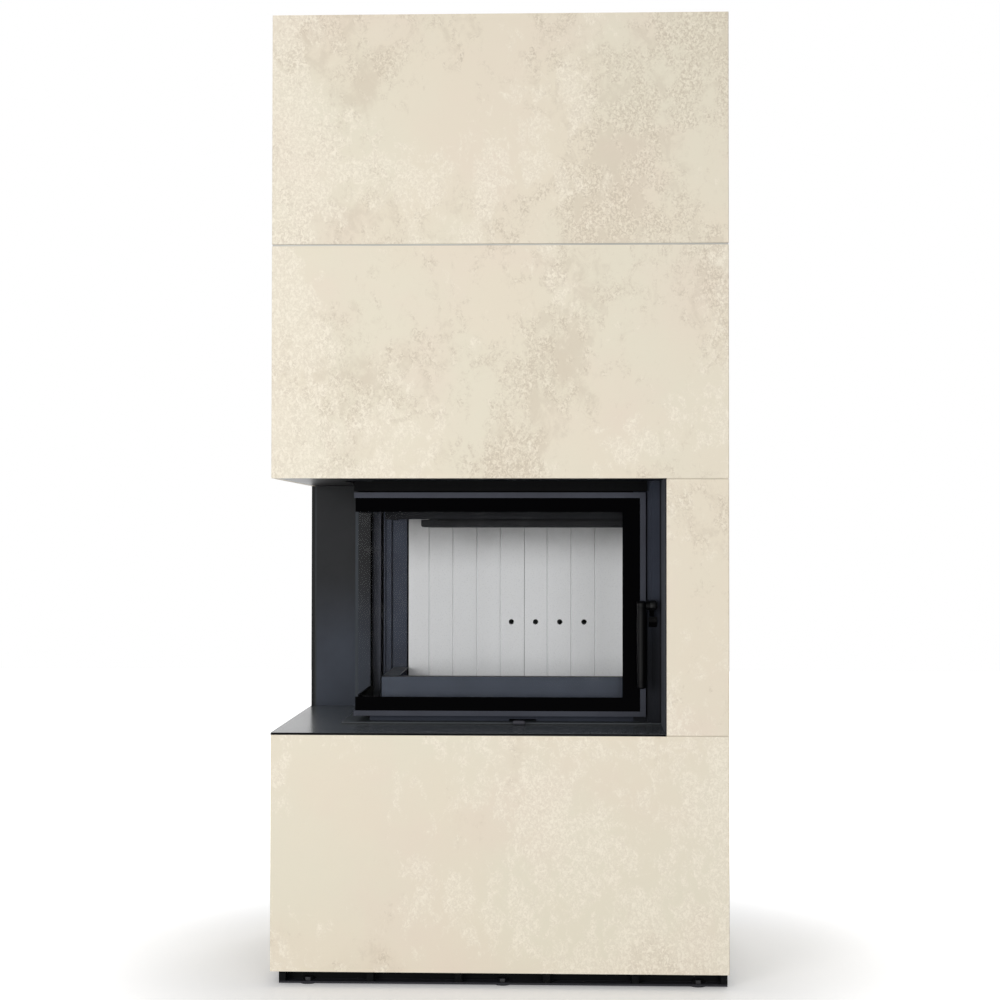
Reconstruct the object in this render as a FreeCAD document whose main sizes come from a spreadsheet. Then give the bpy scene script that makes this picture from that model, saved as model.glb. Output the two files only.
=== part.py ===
import FreeCAD, Part
import os
from types import SimpleNamespace

import Sketcher

doc = FreeCAD.newDocument("Fireplace")

# Driving dimensions in millimetres, kept in the sheet under these names
DIMENSIONS = {
    # casing
    "case_width": 950,
    "case_depth": 670,
    "plinth_height": 30,
    "lower_height": 489,
    "opening_height": 533,
    "middle_height": 484,
    "joint_gap": 4,
    "top_height": 480,
    "hairline_gap": 2,
    "tile_thickness": 12,
    "tile_bevel": 1.5,
    "strip_width": 131,
    "frame_tube": 25,
    "tube_wall": 2,
    "rear_sheet_thickness": 1,
    "sheet_thickness": 2,
    "ledge_lip": 5,
    "jamb_flange": 30,
    "seat_gap": 0.3,
    "cut_overrun": 5,
    # plinth and feet
    "plinth_left_inset": 16,
    "plinth_right_inset": 3,
    "plinth_front_inset": 20,
    "plinth_rear_inset": 2,
    "plinth_bar": 30,
    "plinth_flange": 4,
    "plinth_post": 14,
    "plinth_web": 3,
    "foot_height": 2,
    "foot_radius": 16,
    "foot_bolt_radius": 5,
    "foot_bolt_rise": 7,
    "foot_inset": 60,
    "bolt_clearance": 0.1,
    # top plate and flue
    "top_recess": 12,
    "flue_radius": 90,
    "flue_wall": 2,
    "flue_socket_length": 60,
    "flue_clearance": 0.5,
    "flue_hole_gap": 5,
    "warm_slot_length": 120,
    "warm_slot_width": 12,
    "warm_slot_pitch": 40,
    "warm_slot_inset": 60,
    # door
    "door_inset": 151,
    "door_setback": 200,
    "frame_face": 30,
    "frame_top_height": 22,
    "door_lift": 22,
    "hinge_rear_gap": 34,
    "door_gap": 3,
    "rail_depth": 24,
    "top_rail_height": 12,
    "bottom_rail_height": 11,
    "stile_width": 20,
    "rear_stile_start": 48,
    "rear_stile_width": 40,
    "glass_thickness": 4,
    "glass_setback": 3,
    "glass_groove": 8,
    "seal_thickness": 8,
    "seal_width": 12,
    "seal_margin": 2,
    # hinge
    "hinge_pin_radius": 5,
    "hinge_pin_length": 10,
    "hinge_collar_radius": 10,
    "hinge_clearance": 0.05,
    # insert
    "base_margin": 25,
    "base_setback": 190,
    "base_rear_gap": 12,
    "plate_thickness": 4,
    "frame_sheet": 3,
    "frame_flange": 29,
    "frame_step_width": 9,
    "frame_step_depth": 8,
    "frame_drop": 19,
    "bottom_flange_height": 31,
    "frame_rear_reach": 16,
    "fire_inset": 6,
    "fire_rear_gap": 26,
    "post_reach": 54,
    "post_slot": 4,
    "post_slot_depth": 8,
    "post_gap": 5,
    "post_flange_lead": 52,
    "post_flange_width": 48,
    "post_front": 45,
    "upper_wall_rise": 150,
    "hood_height": 150,
    "hood_slope": 25,
    "collar_height": 60,
    # hearth
    "hearth_height": 44,
    "hearth_setback": 45,
    "hearth_side_gap": 57,
    "lining_thickness": 30,
    "lining_head_gap": 17,
    "lining_upstand": 30,
    "lining_joint": 1,
    "groove_pitch": 56,
    "groove_width": 4,
    "groove_depth": 2.5,
    "groove_start": 54,
    "air_hole_radius": 6.3,
    "air_hole_pitch": 57,
    "air_hole_height": 158,
    "air_hole_start": 31,
    "log_bar_height": 51,
    "log_bar_width": 33,
    "baffle_thickness": 15,
    "baffle_left_gap": 80,
    "baffle_front_gap": 87,
    "baffle_slant": 12,
    "guide_height": 42,
    "guide_setback": 62,
    # air supply
    "air_box_width": 190,
    "air_box_depth": 150,
    "air_box_height": 180,
    "air_box_setback": 110,
    "air_pipe_radius": 62.5,
    "air_pipe_drop": 115,
    "air_slot_width": 14,
    "air_slot_length": 90,
    "air_slot_pitch": 60,
    "slide_width": 150,
    "slide_depth": 110,
    "lever_width": 12,
    "lever_inset": 361,
    "lever_slot_left": 23,
    "lever_slot_right": 36,
    "lever_slot_height": 4,
    "knob_gap": 5,
    "knob_clearance": 1,
    "knob_width": 27,
    "knob_height": 9,
    "knob_depth": 13,
    "knob_round": 3,
    # stand
    "stand_tube": 40,
    "stand_spread": 230,
    "stand_front": 300,
    "stand_rear": 110,
    # handle
    "handle_inset": 11,
    "handle_height": 242,
    "pivot_standoff": 22,
    "shaft_radius": 5,
    "boss_radius": 9,
    "bracket_width": 16,
    "bracket_drop": 18,
    "arm_thickness": 8,
    "arm_radius": 8,
    "grip_standoff": 45,
    "grip_radius": 10,
    "grip_length": 186,
    "grip_top": 8,
    "grip_round": 2,
    "stub_radius": 5,
    "cam_thickness": 10,
    "cam_radius": 10,
    "cam_nose": 24,
    "cam_nose_depth": 17,
    "cam_nose_height": 12,
    "keeper_height": 22,
    "keeper_depth": 7,
    "keeper_width": 18,
    "keeper_gap": 2,
    # screws
    "screw_radius": 5,
    "screw_height": 2.5,
}


class Size:
    """A length that carries its number and the sheet expression behind it."""

    def __init__(self, text, number):
        self.text = text
        self.number = float(number)

    def __add__(self, other):
        other = sized(other)
        return Size("(%s + %s)" % (self.text, other.text), self.number + other.number)

    def __sub__(self, other):
        other = sized(other)
        return Size("(%s - %s)" % (self.text, other.text), self.number - other.number)

    def __mul__(self, factor):
        factor = sized(factor)
        return Size("(%s * %s)" % (self.text, factor.text), self.number * factor.number)

    def __truediv__(self, factor):
        factor = sized(factor)
        return Size("(%s / %s)" % (self.text, factor.text), self.number / factor.number)

    def __neg__(self):
        return Size("(0 - %s)" % self.text, -self.number)


def sized(item):
    return item if isinstance(item, Size) else Size(repr(item), item)


def fill_sheet():
    sheet = doc.addObject("Spreadsheet::Sheet", "Dims")
    for row, (alias, number) in enumerate(DIMENSIONS.items(), start=1):
        sheet.set("A%d" % row, alias)
        sheet.set("B%d" % row, str(number))
        sheet.setAlias("B%d" % row, alias)
    doc.recompute()
    return SimpleNamespace(**{alias: Size("Dims." + alias, sheet.get(alias)) for alias in DIMENSIONS})


d = fill_sheet()
nodes = []


def place(item, x=0, y=0, z=0):
    for axis, size in zip("xyz", (x, y, z)):
        item.setExpression("Placement.Base." + axis, sized(size).text)


def new_body(label, x=0, y=0, z=0, keep=True):
    body = doc.addObject("PartDesign::Body", label)
    body.Label = label
    place(body, x, y, z)
    if keep:
        nodes.append(body)
    return body


class Outline:
    """A sketch on one of the body's own planes, with every point tied to the sheet."""

    def __init__(self, body, plane, offset=0):
        self.plane = plane
        self.sketch = body.newObject("Sketcher::SketchObject", body.Label + "_outline")
        roles = {feature.Role: feature for feature in body.Origin.OriginFeatures}
        self.sketch.AttachmentSupport = [(roles[plane + "_Plane"], "")]
        self.sketch.MapMode = "FlatFace"
        shift = -sized(offset) if plane == "XZ" else sized(offset)
        self.sketch.setExpression("AttachmentOffset.Base.z", shift.text)

    def tie(self, geometry, corner, point):
        for kind, size in zip(("DistanceX", "DistanceY"), point):
            index = self.sketch.addConstraint(Sketcher.Constraint(kind, -1, 1, geometry, corner, size.number))
            self.sketch.setExpression("Constraints[%d]" % index, size.text)

    def polygon(self, points):
        points = [(sized(a), sized(b)) for a, b in points]
        corners = [FreeCAD.Vector(a.number, b.number, 0) for a, b in points]
        first = self.sketch.GeometryCount
        following = corners[1:] + corners[:1]
        self.sketch.addGeometry([Part.LineSegment(*ends) for ends in zip(corners, following)], False)
        lines = list(range(first, first + len(points)))
        pairs = zip(lines, lines[1:] + lines[:1])
        self.sketch.addConstraint([Sketcher.Constraint("Coincident", a, 2, b, 1) for a, b in pairs])
        for line, point in zip(lines, points):
            self.tie(line, 1, point)
        return self

    def rectangle(self, low, high):
        return self.polygon([low, (high[0], low[1]), high, (low[0], high[1])])

    def circle(self, centre, radius):
        centre = [sized(size) for size in centre]
        middle = FreeCAD.Vector(centre[0].number, centre[1].number, 0)
        index = self.sketch.addGeometry(Part.Circle(middle, FreeCAD.Vector(0, 0, 1), radius.number), False)
        self.tie(index, 3, centre)
        bound = self.sketch.addConstraint(Sketcher.Constraint("Radius", index, radius.number))
        self.sketch.setExpression("Constraints[%d]" % bound, radius.text)
        return self

    def feature(self, kind, length, backwards):
        body = self.sketch.getParentGeoFeatureGroup()
        made = body.newObject("PartDesign::" + kind, body.Label + "_" + kind.lower())
        made.Profile = self.sketch
        made.setExpression("Length", sized(length).text)
        made.Reversed = backwards
        return made

    # Pads and pockets both run towards the positive side of their plane
    def pad(self, length):
        return self.feature("Pad", length, self.plane == "XZ")

    def pocket(self, length):
        return self.feature("Pocket", length, self.plane != "XZ")


def block(label, low, high, keep=True):
    body = new_body(label, *low, keep=keep)
    size = [sized(b) - a for a, b in zip(low, high)]
    Outline(body, "XY").rectangle((0, 0), size[:2]).pad(size[2])
    return body


def eased(body, kind, size, chosen):
    doc.recompute()
    base = body.Tip
    names = ["Edge%d" % (i + 1) for i, edge in enumerate(base.Shape.Edges) if chosen(edge)]
    made = body.newObject("PartDesign::" + kind, body.Label + "_eased")
    made.Base = (base, names)
    made.setExpression("Radius" if kind == "Fillet" else "Size", size.text)
    return made


def group(label, members):
    compound = doc.addObject("Part::Compound", label)
    compound.Label = label
    compound.Links = members
    nodes.append(compound)
    return compound


# Shared places: X grows to the right, Y to the rear, Z up
left = -d.case_width / 2
right = d.case_width / 2
front = -d.case_depth / 2
back = d.case_depth / 2
inner_left = left + d.tile_thickness
inner_right = right - d.tile_thickness
inner_front = front + d.tile_thickness
inner_back = back - d.rear_sheet_thickness
ledge_base = d.plinth_height + d.lower_height
ledge_top = ledge_base + d.ledge_lip
soffit_base = ledge_base + d.opening_height
soffit_top = soffit_base + d.sheet_thickness
middle_top = soffit_base + d.middle_height
top_base = middle_top + d.joint_gap
case_top = top_base + d.top_height
strip_left = right - d.strip_width
niche_back = inner_back - d.frame_tube - d.sheet_thickness

door_left = left + d.door_inset
door_right = strip_left - d.frame_face - d.door_gap
door_width = door_right - door_left
door_front = front + d.door_setback
door_bottom = ledge_base + d.door_lift
door_top = soffit_base - d.frame_top_height - d.door_gap
door_height = door_top - door_bottom
hinge_x = door_left + d.rail_depth / 2
hinge_y = niche_back - d.hinge_rear_gap
door_side = hinge_y - door_front
seal_depth = d.rail_depth + d.seal_thickness
wall_depth = seal_depth + d.frame_sheet

base_top = ledge_top + d.plate_thickness
fire_right = door_right - d.fire_inset
fire_back = hinge_y - d.fire_rear_gap
fire_depth = fire_back - door_front
hood_base = soffit_base + d.upper_wall_rise
hood_top = hood_base + d.hood_height
hearth_top = base_top + d.hearth_height
hearth_left = door_left + d.hearth_side_gap
hearth_front = door_front + d.hearth_setback
flue_x = (door_left + wall_depth + fire_right) / 2
flue_y = (door_front + wall_depth + fire_back) / 2
lever_x = door_left + d.lever_inset
base_front = front + d.base_setback
base_left = door_left - d.base_margin
box_left = lever_x - d.air_box_width / 2
box_front = door_front + d.air_box_setback
flange_low = door_top + d.door_gap - d.frame_drop
lining_height = flange_low - d.guide_height - d.lining_head_gap - hearth_top
lining_left = door_left + seal_depth + d.post_reach + d.post_gap
lining_right = fire_right - d.lining_thickness
left_lining_share = 0.538
lining_seam = lining_left + (lining_right - lining_left) * left_lining_share


# Stone-look slabs with mitred corners and a small bevel on the outer arris
def front_slab(label, start, low, high):
    body = new_body(label, start, front, low)
    width = right - start
    bevel = d.tile_bevel
    thick = d.tile_thickness
    far_end = [(width - bevel, 0), (width - bevel / 2, bevel / 2), (width - thick, thick)]
    near_end = [(thick, thick), (bevel / 2, bevel / 2), (bevel, 0)]
    if start is not left:
        near_end = [(0, thick), (0, 0)]
    Outline(body, "XY").polygon(far_end + near_end).pad(high - low)


def side_slab(label, side, low, high):
    is_left = side is left
    body = new_body(label, side, front, low)
    bevel = d.tile_bevel
    depth = d.case_depth
    thick = d.tile_thickness
    shape = [(0, bevel), (bevel / 2, bevel / 2), (thick, thick), (thick, depth), (0, depth)]
    if not is_left:
        shape = [(-sized(x), y) for x, y in reversed(shape)]
    Outline(body, "XY").polygon(shape).pad(high - low)


def make_slabs():
    strip_low = ledge_base + d.hairline_gap
    strip_high = soffit_base - d.hairline_gap
    levels = {
        "lower": (d.plinth_height, ledge_base),
        "middle": (soffit_base, middle_top),
        "top": (top_base, case_top),
    }
    for name, (low, high) in levels.items():
        front_slab("front_panel_" + name, left, low, high)
        side_slab("left_panel_" + name, left, low, high)
        side_slab("right_panel_" + name, right, low, high)
    front_slab("front_panel_strip", strip_left + d.sheet_thickness, strip_low, strip_high)
    side_slab("right_panel_strip", right, strip_low, strip_high)


# Square tubes of the welded frame that carries the slabs
def tube(axis, low, length, side=None):
    side = side or d.frame_tube
    plane = {"x": "YZ", "y": "XZ", "z": "XY"}[axis]
    body = new_body("frame_tube", *low, keep=False)
    outline = Outline(body, plane)
    outline.rectangle((0, 0), (side, side))
    outline.rectangle((d.tube_wall, d.tube_wall), (side - d.tube_wall, side - d.tube_wall))
    outline.pad(length)
    return body


def tube_ring(level):
    side_length = inner_back - inner_front - d.frame_tube * 2
    rear = inner_back - d.frame_tube
    far = inner_right - d.frame_tube
    across = inner_right - inner_left
    rails = [tube("x", (inner_left, y, level), across) for y in (inner_front, rear)]
    sides = [tube("y", (x, inner_front + d.frame_tube, level), side_length) for x in (inner_left, far)]
    return rails + sides


def corner_posts(low, high, corners):
    spots = {
        "front_left": (inner_left, inner_front),
        "front_right": (inner_right - d.frame_tube, inner_front),
        "rear_left": (inner_left, inner_back - d.frame_tube),
        "rear_right": (inner_right - d.frame_tube, inner_back - d.frame_tube),
    }
    return [tube("z", (*spots[name], low), high - low) for name in corners]


def make_frame():
    corners = ["front_right", "rear_left", "rear_right"]
    every_corner = corners + ["front_left"]
    sheet_under = ledge_top - d.sheet_thickness
    ring_low = sheet_under - d.frame_tube
    top_sheet = case_top - d.top_recess - d.sheet_thickness
    ring_high = top_sheet - d.frame_tube
    group("lower_frame", corner_posts(d.plinth_height, ring_low, every_corner) + tube_ring(ring_low))
    group("middle_posts", corner_posts(sheet_under, soffit_top, corners))
    posts = corner_posts(soffit_top + d.frame_tube, ring_high, every_corner)
    group("upper_frame", tube_ring(soffit_top) + posts + tube_ring(ring_high))


# Plinth of four open ladder rails and two cross bars, on levelling feet
def plinth_spots():
    low_x = left + d.plinth_left_inset
    high_x = right - d.plinth_right_inset
    low_y = front + d.plinth_front_inset
    high_y = back - d.plinth_rear_inset
    return low_x, high_x, low_y, high_y


def ladder_rail(label, axis, low, length, windows, web_start, feet=()):
    body = new_body(label, *low, keep=False)
    height = d.plinth_height - d.foot_height
    plane = "XZ" if axis == "x" else "YZ"
    Outline(body, plane).rectangle((0, 0), (length, height)).pad(d.plinth_bar)
    recess = Outline(body, plane, web_start)
    pitch = (length - d.plinth_post) / windows
    for i in range(windows):
        start = pitch * i + d.plinth_post
        recess.rectangle((start, d.plinth_flange), (pitch * (i + 1), height - d.plinth_flange))
    recess.pocket(d.plinth_bar - d.plinth_web)
    if feet:
        holes = Outline(body, "XY", -d.cut_overrun)
        for along in feet:
            holes.circle((along, d.plinth_bar / 2), d.foot_bolt_radius + d.bolt_clearance)
        holes.pocket(d.cut_overrun + d.plinth_flange)
    return body


def make_plinth():
    low_x, high_x, low_y, high_y = plinth_spots()
    length = high_x - low_x
    inner_length = high_y - low_y - d.plinth_bar * 2
    feet = [d.foot_inset, length / 2, length - d.foot_inset]
    base = d.foot_height
    rails = [
        ladder_rail("plinth_front_rail", "x", (low_x, low_y, base), length, 5, 0, feet),
        ladder_rail("plinth_rear_rail", "x", (low_x, high_y - d.plinth_bar, base), length, 5, d.plinth_web, feet),
    ]
    for x, web_start in ((low_x, 0), (high_x - d.plinth_bar, d.plinth_web)):
        low = (x, low_y + d.plinth_bar, base)
        rails.append(ladder_rail("plinth_side_rail", "y", low, inner_length, 4, web_start))
    for x in (-d.stand_spread, d.stand_spread - d.stand_tube):
        low = (x, low_y + d.plinth_bar, base)
        high = (x + d.stand_tube, high_y - d.plinth_bar, d.plinth_height)
        rails.append(block("plinth_cross_bar", low, high, keep=False))
    group("plinth_frame", rails)
    spots = [(low_x + along, y) for along in feet for y in (low_y, high_y - d.plinth_bar)]
    group("levelling_feet", [foot(x, y + d.plinth_bar / 2) for x, y in spots])


def cylinder(x, y, z, radius, height, kind="Part::Cylinder"):
    made = doc.addObject(kind, "round")
    made.setExpression("Radius", radius.text)
    made.setExpression("Height", sized(height).text)
    place(made, x, y, z)
    return made


def fuse(label, members):
    made = doc.addObject("Part::MultiFuse", label)
    made.Shapes = members
    return made


def foot(x, y):
    flange_top = d.foot_height + d.plinth_flange
    pad = cylinder(x, y, 0, d.foot_radius, d.foot_height)
    bolt = cylinder(x, y, 0, d.foot_bolt_radius, flange_top)
    nut = doc.addObject("Part::Prism", "nut")
    nut.Polygon = 6
    nut.setExpression("Circumradius", (d.foot_bolt_radius * 2).text)
    nut.setExpression("Height", d.foot_bolt_rise.text)
    place(nut, x, y, flange_top)
    return fuse("foot", [pad, bolt, nut])


# Sheet-metal lining of the niche
def make_niche():
    ledge = new_body("ledge", left, front, ledge_base)
    width = strip_left - left
    depth = niche_back - front
    lip = d.sheet_thickness
    lips = [(0, 0), (width, 0), (width, lip), (lip, lip), (lip, depth), (0, depth)]
    Outline(ledge, "XY").polygon(lips).pad(d.ledge_lip)
    sheet = Outline(ledge, "XY", d.ledge_lip - lip).rectangle((0, 0), (width, depth))
    cut_x = box_left - left - d.seat_gap
    cut_y = box_front - front - d.seat_gap
    cut_wide = d.air_box_width + d.seat_gap * 2
    cut_deep = d.air_box_depth + d.seat_gap * 2
    sheet.rectangle((cut_x, cut_y), (cut_x + cut_wide, cut_y + cut_deep))
    sheet.pad(lip)

    low = (inner_left, inner_front, soffit_base)
    front_sheet = block("soffit_front", low, (strip_left, base_front, soffit_top), keep=False)
    low = (inner_left, base_front, soffit_base)
    left_sheet = block("soffit_left", low, (base_left, niche_back, soffit_top), keep=False)
    group("soffit", [front_sheet, left_sheet])

    jamb = new_body("right_jamb", strip_left, front, ledge_top)
    reach = door_front + wall_depth - front
    sheet = d.sheet_thickness
    thick = d.tile_thickness
    fold = [(0, 0), (sheet, 0), (sheet, thick), (d.jamb_flange, thick)]
    fold += [(d.jamb_flange, thick + sheet), (sheet, thick + sheet), (sheet, reach), (0, reach)]
    Outline(jamb, "XY").polygon(fold).pad(soffit_base - ledge_top)

    panel_right = door_left + wall_depth + d.post_reach
    panel_high = (panel_right, niche_back + sheet, soffit_base)
    block("niche_rear_panel", (inner_left, niche_back, ledge_top), panel_high)
    trim = new_body("niche_corner_trim", left, niche_back, ledge_base)
    wide = d.tile_thickness
    deep = back - niche_back
    angle = [(0, 0), (wide, 0), (wide, sheet), (sheet, sheet), (sheet, deep), (0, deep)]
    Outline(trim, "XY").polygon(angle).pad(d.opening_height)


def make_covers():
    top_sheet = case_top - d.top_recess - d.sheet_thickness
    rear = new_body("rear_sheet", inner_left, inner_back, d.plinth_height)
    outline = Outline(rear, "XZ")
    outline.rectangle((0, 0), (inner_right - inner_left, top_sheet - d.plinth_height))
    pipe_z = ledge_top - d.air_pipe_drop
    outline.circle((lever_x - inner_left, pipe_z - d.plinth_height), d.air_pipe_radius + d.seat_gap)
    outline.pad(d.rear_sheet_thickness)

    top = new_body("top_plate", inner_left, inner_front, top_sheet)
    plate = Outline(top, "XY")
    plate.rectangle((0, 0), (inner_right - inner_left, inner_back - inner_front))
    flue_hole = d.flue_radius + d.flue_wall * 2 + d.flue_hole_gap
    plate.circle((flue_x - inner_left, flue_y - inner_front), flue_hole)
    plate.pad(d.sheet_thickness)
    slot = Outline(top, "XY", -d.cut_overrun)
    low = (d.warm_slot_inset, d.warm_slot_inset)
    slot.rectangle(low, (low[0] + d.warm_slot_width, low[1] + d.warm_slot_length))
    cut = slot.pocket(d.cut_overrun * 2)
    row = top.newObject("PartDesign::LinearPattern", "warm_air_slots")
    row.Originals = [cut]
    row.Direction = (slot.sketch, ["H_Axis"])
    row_length = inner_right - inner_left - d.warm_slot_inset * 2 - d.warm_slot_width
    row.setExpression("Length", row_length.text)
    row.setExpression("Occurrences", "floor(%s) + 1" % (row_length / d.warm_slot_pitch).text)
    top.Tip = row

    screw_shares = (0.05, 0.35, 0.65, 0.95)
    across = inner_right - inner_left
    rows = (inner_front + d.frame_tube / 2, inner_back - d.frame_tube / 2)
    spots = [(inner_left + across * share, y) for share in screw_shares for y in rows]
    group("top_plate_screws", [screw_head(x, y, top_sheet + d.sheet_thickness) for x, y in spots])


def screw_head(x, y, z):
    head = doc.addObject("Part::Prism", "screw_head")
    head.Polygon = 6
    head.setExpression("Circumradius", d.screw_radius.text)
    head.setExpression("Height", d.screw_height.text)
    place(head, x, y, z)
    return head


# Strip in plan that follows the door's front and left side between two depths
def corner_strip(outline, near, far, right_end, rear_end):
    return outline.polygon(
        [(near, rear_end), (near, near), (right_end, near), (right_end, far), (far, far), (far, rear_end)]
    )


def make_insert_base():
    base = new_body("insert_base_plate", base_left, base_front, ledge_top)
    outline = Outline(base, "XY")
    outline.rectangle((0, 0), (strip_left - base_left, niche_back - d.base_rear_gap - base_front))
    air_slots(outline, lever_x - base_left, box_front - base_front)
    outline.pad(d.plate_thickness)

    sheet_under = ledge_top - d.sheet_thickness
    height = sheet_under - d.plinth_height
    legs = []
    for x in (-d.stand_spread, d.stand_spread - d.stand_tube):
        for y in (front + d.stand_front, back - d.stand_rear):
            legs.append(tube("z", (x, y, d.plinth_height), height, d.stand_tube))
    group("insert_stand", legs)

    box = new_body("air_box", box_left, box_front, ledge_top - d.air_box_height)
    wall = d.sheet_thickness
    wide = d.air_box_width
    deep = d.air_box_depth
    Outline(box, "XY").rectangle((0, 0), (wide, deep)).pad(d.air_box_height)
    Outline(box, "XY", wall).rectangle((wall, wall), (wide - wall, deep - wall)).pocket(d.air_box_height)
    middle = (wide / 2, d.air_box_height - d.air_pipe_drop)
    pipe = Outline(box, "XZ", deep).circle(middle, d.air_pipe_radius)
    pipe.circle(middle, d.air_pipe_radius - wall).pad(back - box_front - deep)
    Outline(box, "XZ", deep - wall * 2).circle(middle, d.air_pipe_radius - wall).pocket(wall * 2)


# Three matching slots in the base plate and in the slide that covers them
def air_slots(outline, centre_x, box_y):
    low_y = box_y + (d.air_box_depth - d.air_slot_length) / 2
    for step in (-1, 0, 1):
        low_x = centre_x + d.air_slot_pitch * step - d.air_slot_width / 2
        outline.rectangle((low_x, low_y), (low_x + d.air_slot_width, low_y + d.air_slot_length))


def lever_slot(body, body_x, depth):
    slot = Outline(body, "XZ", depth - d.cut_overrun)
    low = (lever_x - d.lever_slot_left - body_x, -d.cut_overrun)
    slot.rectangle(low, (lever_x + d.lever_slot_right - body_x, d.lever_slot_height))
    slot.pocket(d.frame_sheet + d.cut_overrun * 2)


# Folded steel frame round the door
def make_insert_frame():
    flange_end = door_right + d.door_gap - d.frame_flange - door_left
    post_start = door_side - d.post_flange_lead
    bottom = new_body("insert_frame_bottom", door_left, door_front, base_top)
    strip = corner_strip(Outline(bottom, "XY"), seal_depth, wall_depth, flange_end, post_start)
    strip.pad(d.bottom_flange_height)
    lever_slot(bottom, door_left, seal_depth)

    side = new_body("insert_frame_right", door_right + d.door_gap, door_front, base_top)
    wide = strip_left - door_right - d.door_gap
    fold = d.frame_sheet
    flange = -d.frame_flange
    step = d.frame_step_width
    sunk = d.frame_step_depth
    section = [(0, sunk), (step, sunk), (step, 0), (wide, 0), (wide, wall_depth), (wide - fold, wall_depth)]
    section += [(wide - fold, fold), (step + fold, fold), (step + fold, sunk + fold), (fold, sunk + fold)]
    section += [(fold, wall_depth), (flange, wall_depth), (flange, seal_depth), (0, seal_depth)]
    Outline(side, "XY").polygon(section).pad(soffit_base - base_top)

    top = new_body("insert_frame_top", door_left, door_front, flange_low)
    rear_end = door_side + d.frame_rear_reach
    face_end = door_width + d.door_gap
    drop = d.frame_drop
    corner_strip(Outline(top, "XY", drop), 0, fold, face_end, rear_end).pad(soffit_base - flange_low - drop)
    corner_strip(Outline(top, "XY", drop), 0, seal_depth, face_end, rear_end).pad(fold)
    corner_strip(Outline(top, "XY"), seal_depth, wall_depth, flange_end, rear_end).pad(drop + fold)

    post = new_body("rear_left_post", door_left + seal_depth, door_front, base_top)
    post_split_share = 0.315
    split = d.post_reach * post_split_share
    slot_end = split + d.post_slot
    face = door_side - d.post_front
    sunk = face + d.post_slot_depth
    reach = d.post_reach
    section = [(0, post_start), (fold, post_start), (fold, face), (split, face), (split, sunk)]
    section += [(slot_end, sunk), (slot_end, face), (reach, face), (reach, fire_depth)]
    section += [(reach - fold, fire_depth), (reach - fold, face + fold), (slot_end + fold, face + fold)]
    section += [(slot_end + fold, sunk + fold), (split - fold, sunk + fold), (split - fold, face + fold)]
    section += [(fold, face + fold), (fold, post_start + d.post_flange_width)]
    section += [(0, post_start + d.post_flange_width)]
    Outline(post, "XY").polygon(section).pad(flange_low - base_top)


# Steel walls, smoke hood and flue
def make_firebox():
    wall_left = door_left + wall_depth
    wall_front = door_front + wall_depth
    plate = d.plate_thickness
    wall_high = (fire_right + plate, fire_back + plate, hood_base)
    block("firebox_right_wall", (fire_right, wall_front, base_top), wall_high)
    rear = new_body("firebox_rear_wall", wall_left, fire_back, base_top)
    outline = Outline(rear, "XZ").rectangle((0, 0), (fire_right - wall_left, hood_base - base_top))
    for x, z in air_hole_spots():
        outline.circle((x - wall_left, z - base_top), d.air_hole_radius)
    outline.pad(plate)
    upper = new_body("firebox_upper_walls", door_left, door_front, flange_low)
    upper_end = fire_right - door_left
    strip = corner_strip(Outline(upper, "XY"), wall_depth, wall_depth + plate, upper_end, fire_depth)
    strip.pad(hood_base - flange_low)

    hood = new_body("smoke_hood", wall_left, wall_front, hood_base)
    wide = fire_right + plate - wall_left
    deep = fire_back + plate - wall_front
    centre = (flue_x - wall_left, flue_y - wall_front)
    fold = d.frame_sheet
    shell = Outline(hood, "XY").rectangle((0, 0), (wide, deep)).pad(d.hood_height)
    shell.setExpression("TaperAngle", (-d.hood_slope).text)
    inner = Outline(hood, "XY").rectangle((fold, fold), (wide - fold, deep - fold))
    hollow = inner.pocket(d.hood_height - fold)
    hollow.setExpression("TaperAngle", (-d.hood_slope).text)
    outer = d.flue_radius - d.flue_wall - d.seat_gap
    mouth = Outline(hood, "XY", d.hood_height - fold - d.cut_overrun).circle(centre, outer - d.flue_wall)
    mouth.pocket(fold + d.cut_overrun * 2)
    collar = Outline(hood, "XY", d.hood_height).circle(centre, outer)
    collar.circle(centre, outer - d.flue_wall).pad(d.collar_height)

    pipe = new_body("flue_pipe", flue_x, flue_y, hood_top)
    length = case_top - hood_top
    neck = length - d.flue_socket_length
    bore = d.flue_radius - d.flue_wall
    socket = d.flue_radius + d.flue_clearance
    rim = socket + d.flue_wall
    section = Outline(pipe, "XZ")
    section.polygon(
        [(bore, 0), (d.flue_radius, 0), (d.flue_radius, neck - d.flue_wall), (rim, neck), (rim, length)]
        + [(socket, length), (socket, neck), (bore, neck - d.flue_wall)]
    )
    turned = pipe.newObject("PartDesign::Revolution", "flue_pipe_turned")
    turned.Profile = section.sketch
    turned.ReferenceAxis = (section.sketch, ["V_Axis"])
    turned.Angle = 360


def air_hole_spots():
    z = hearth_top + d.air_hole_height
    return [(lining_seam - d.air_hole_start + d.air_hole_pitch * step, z) for step in range(4)]


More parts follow.
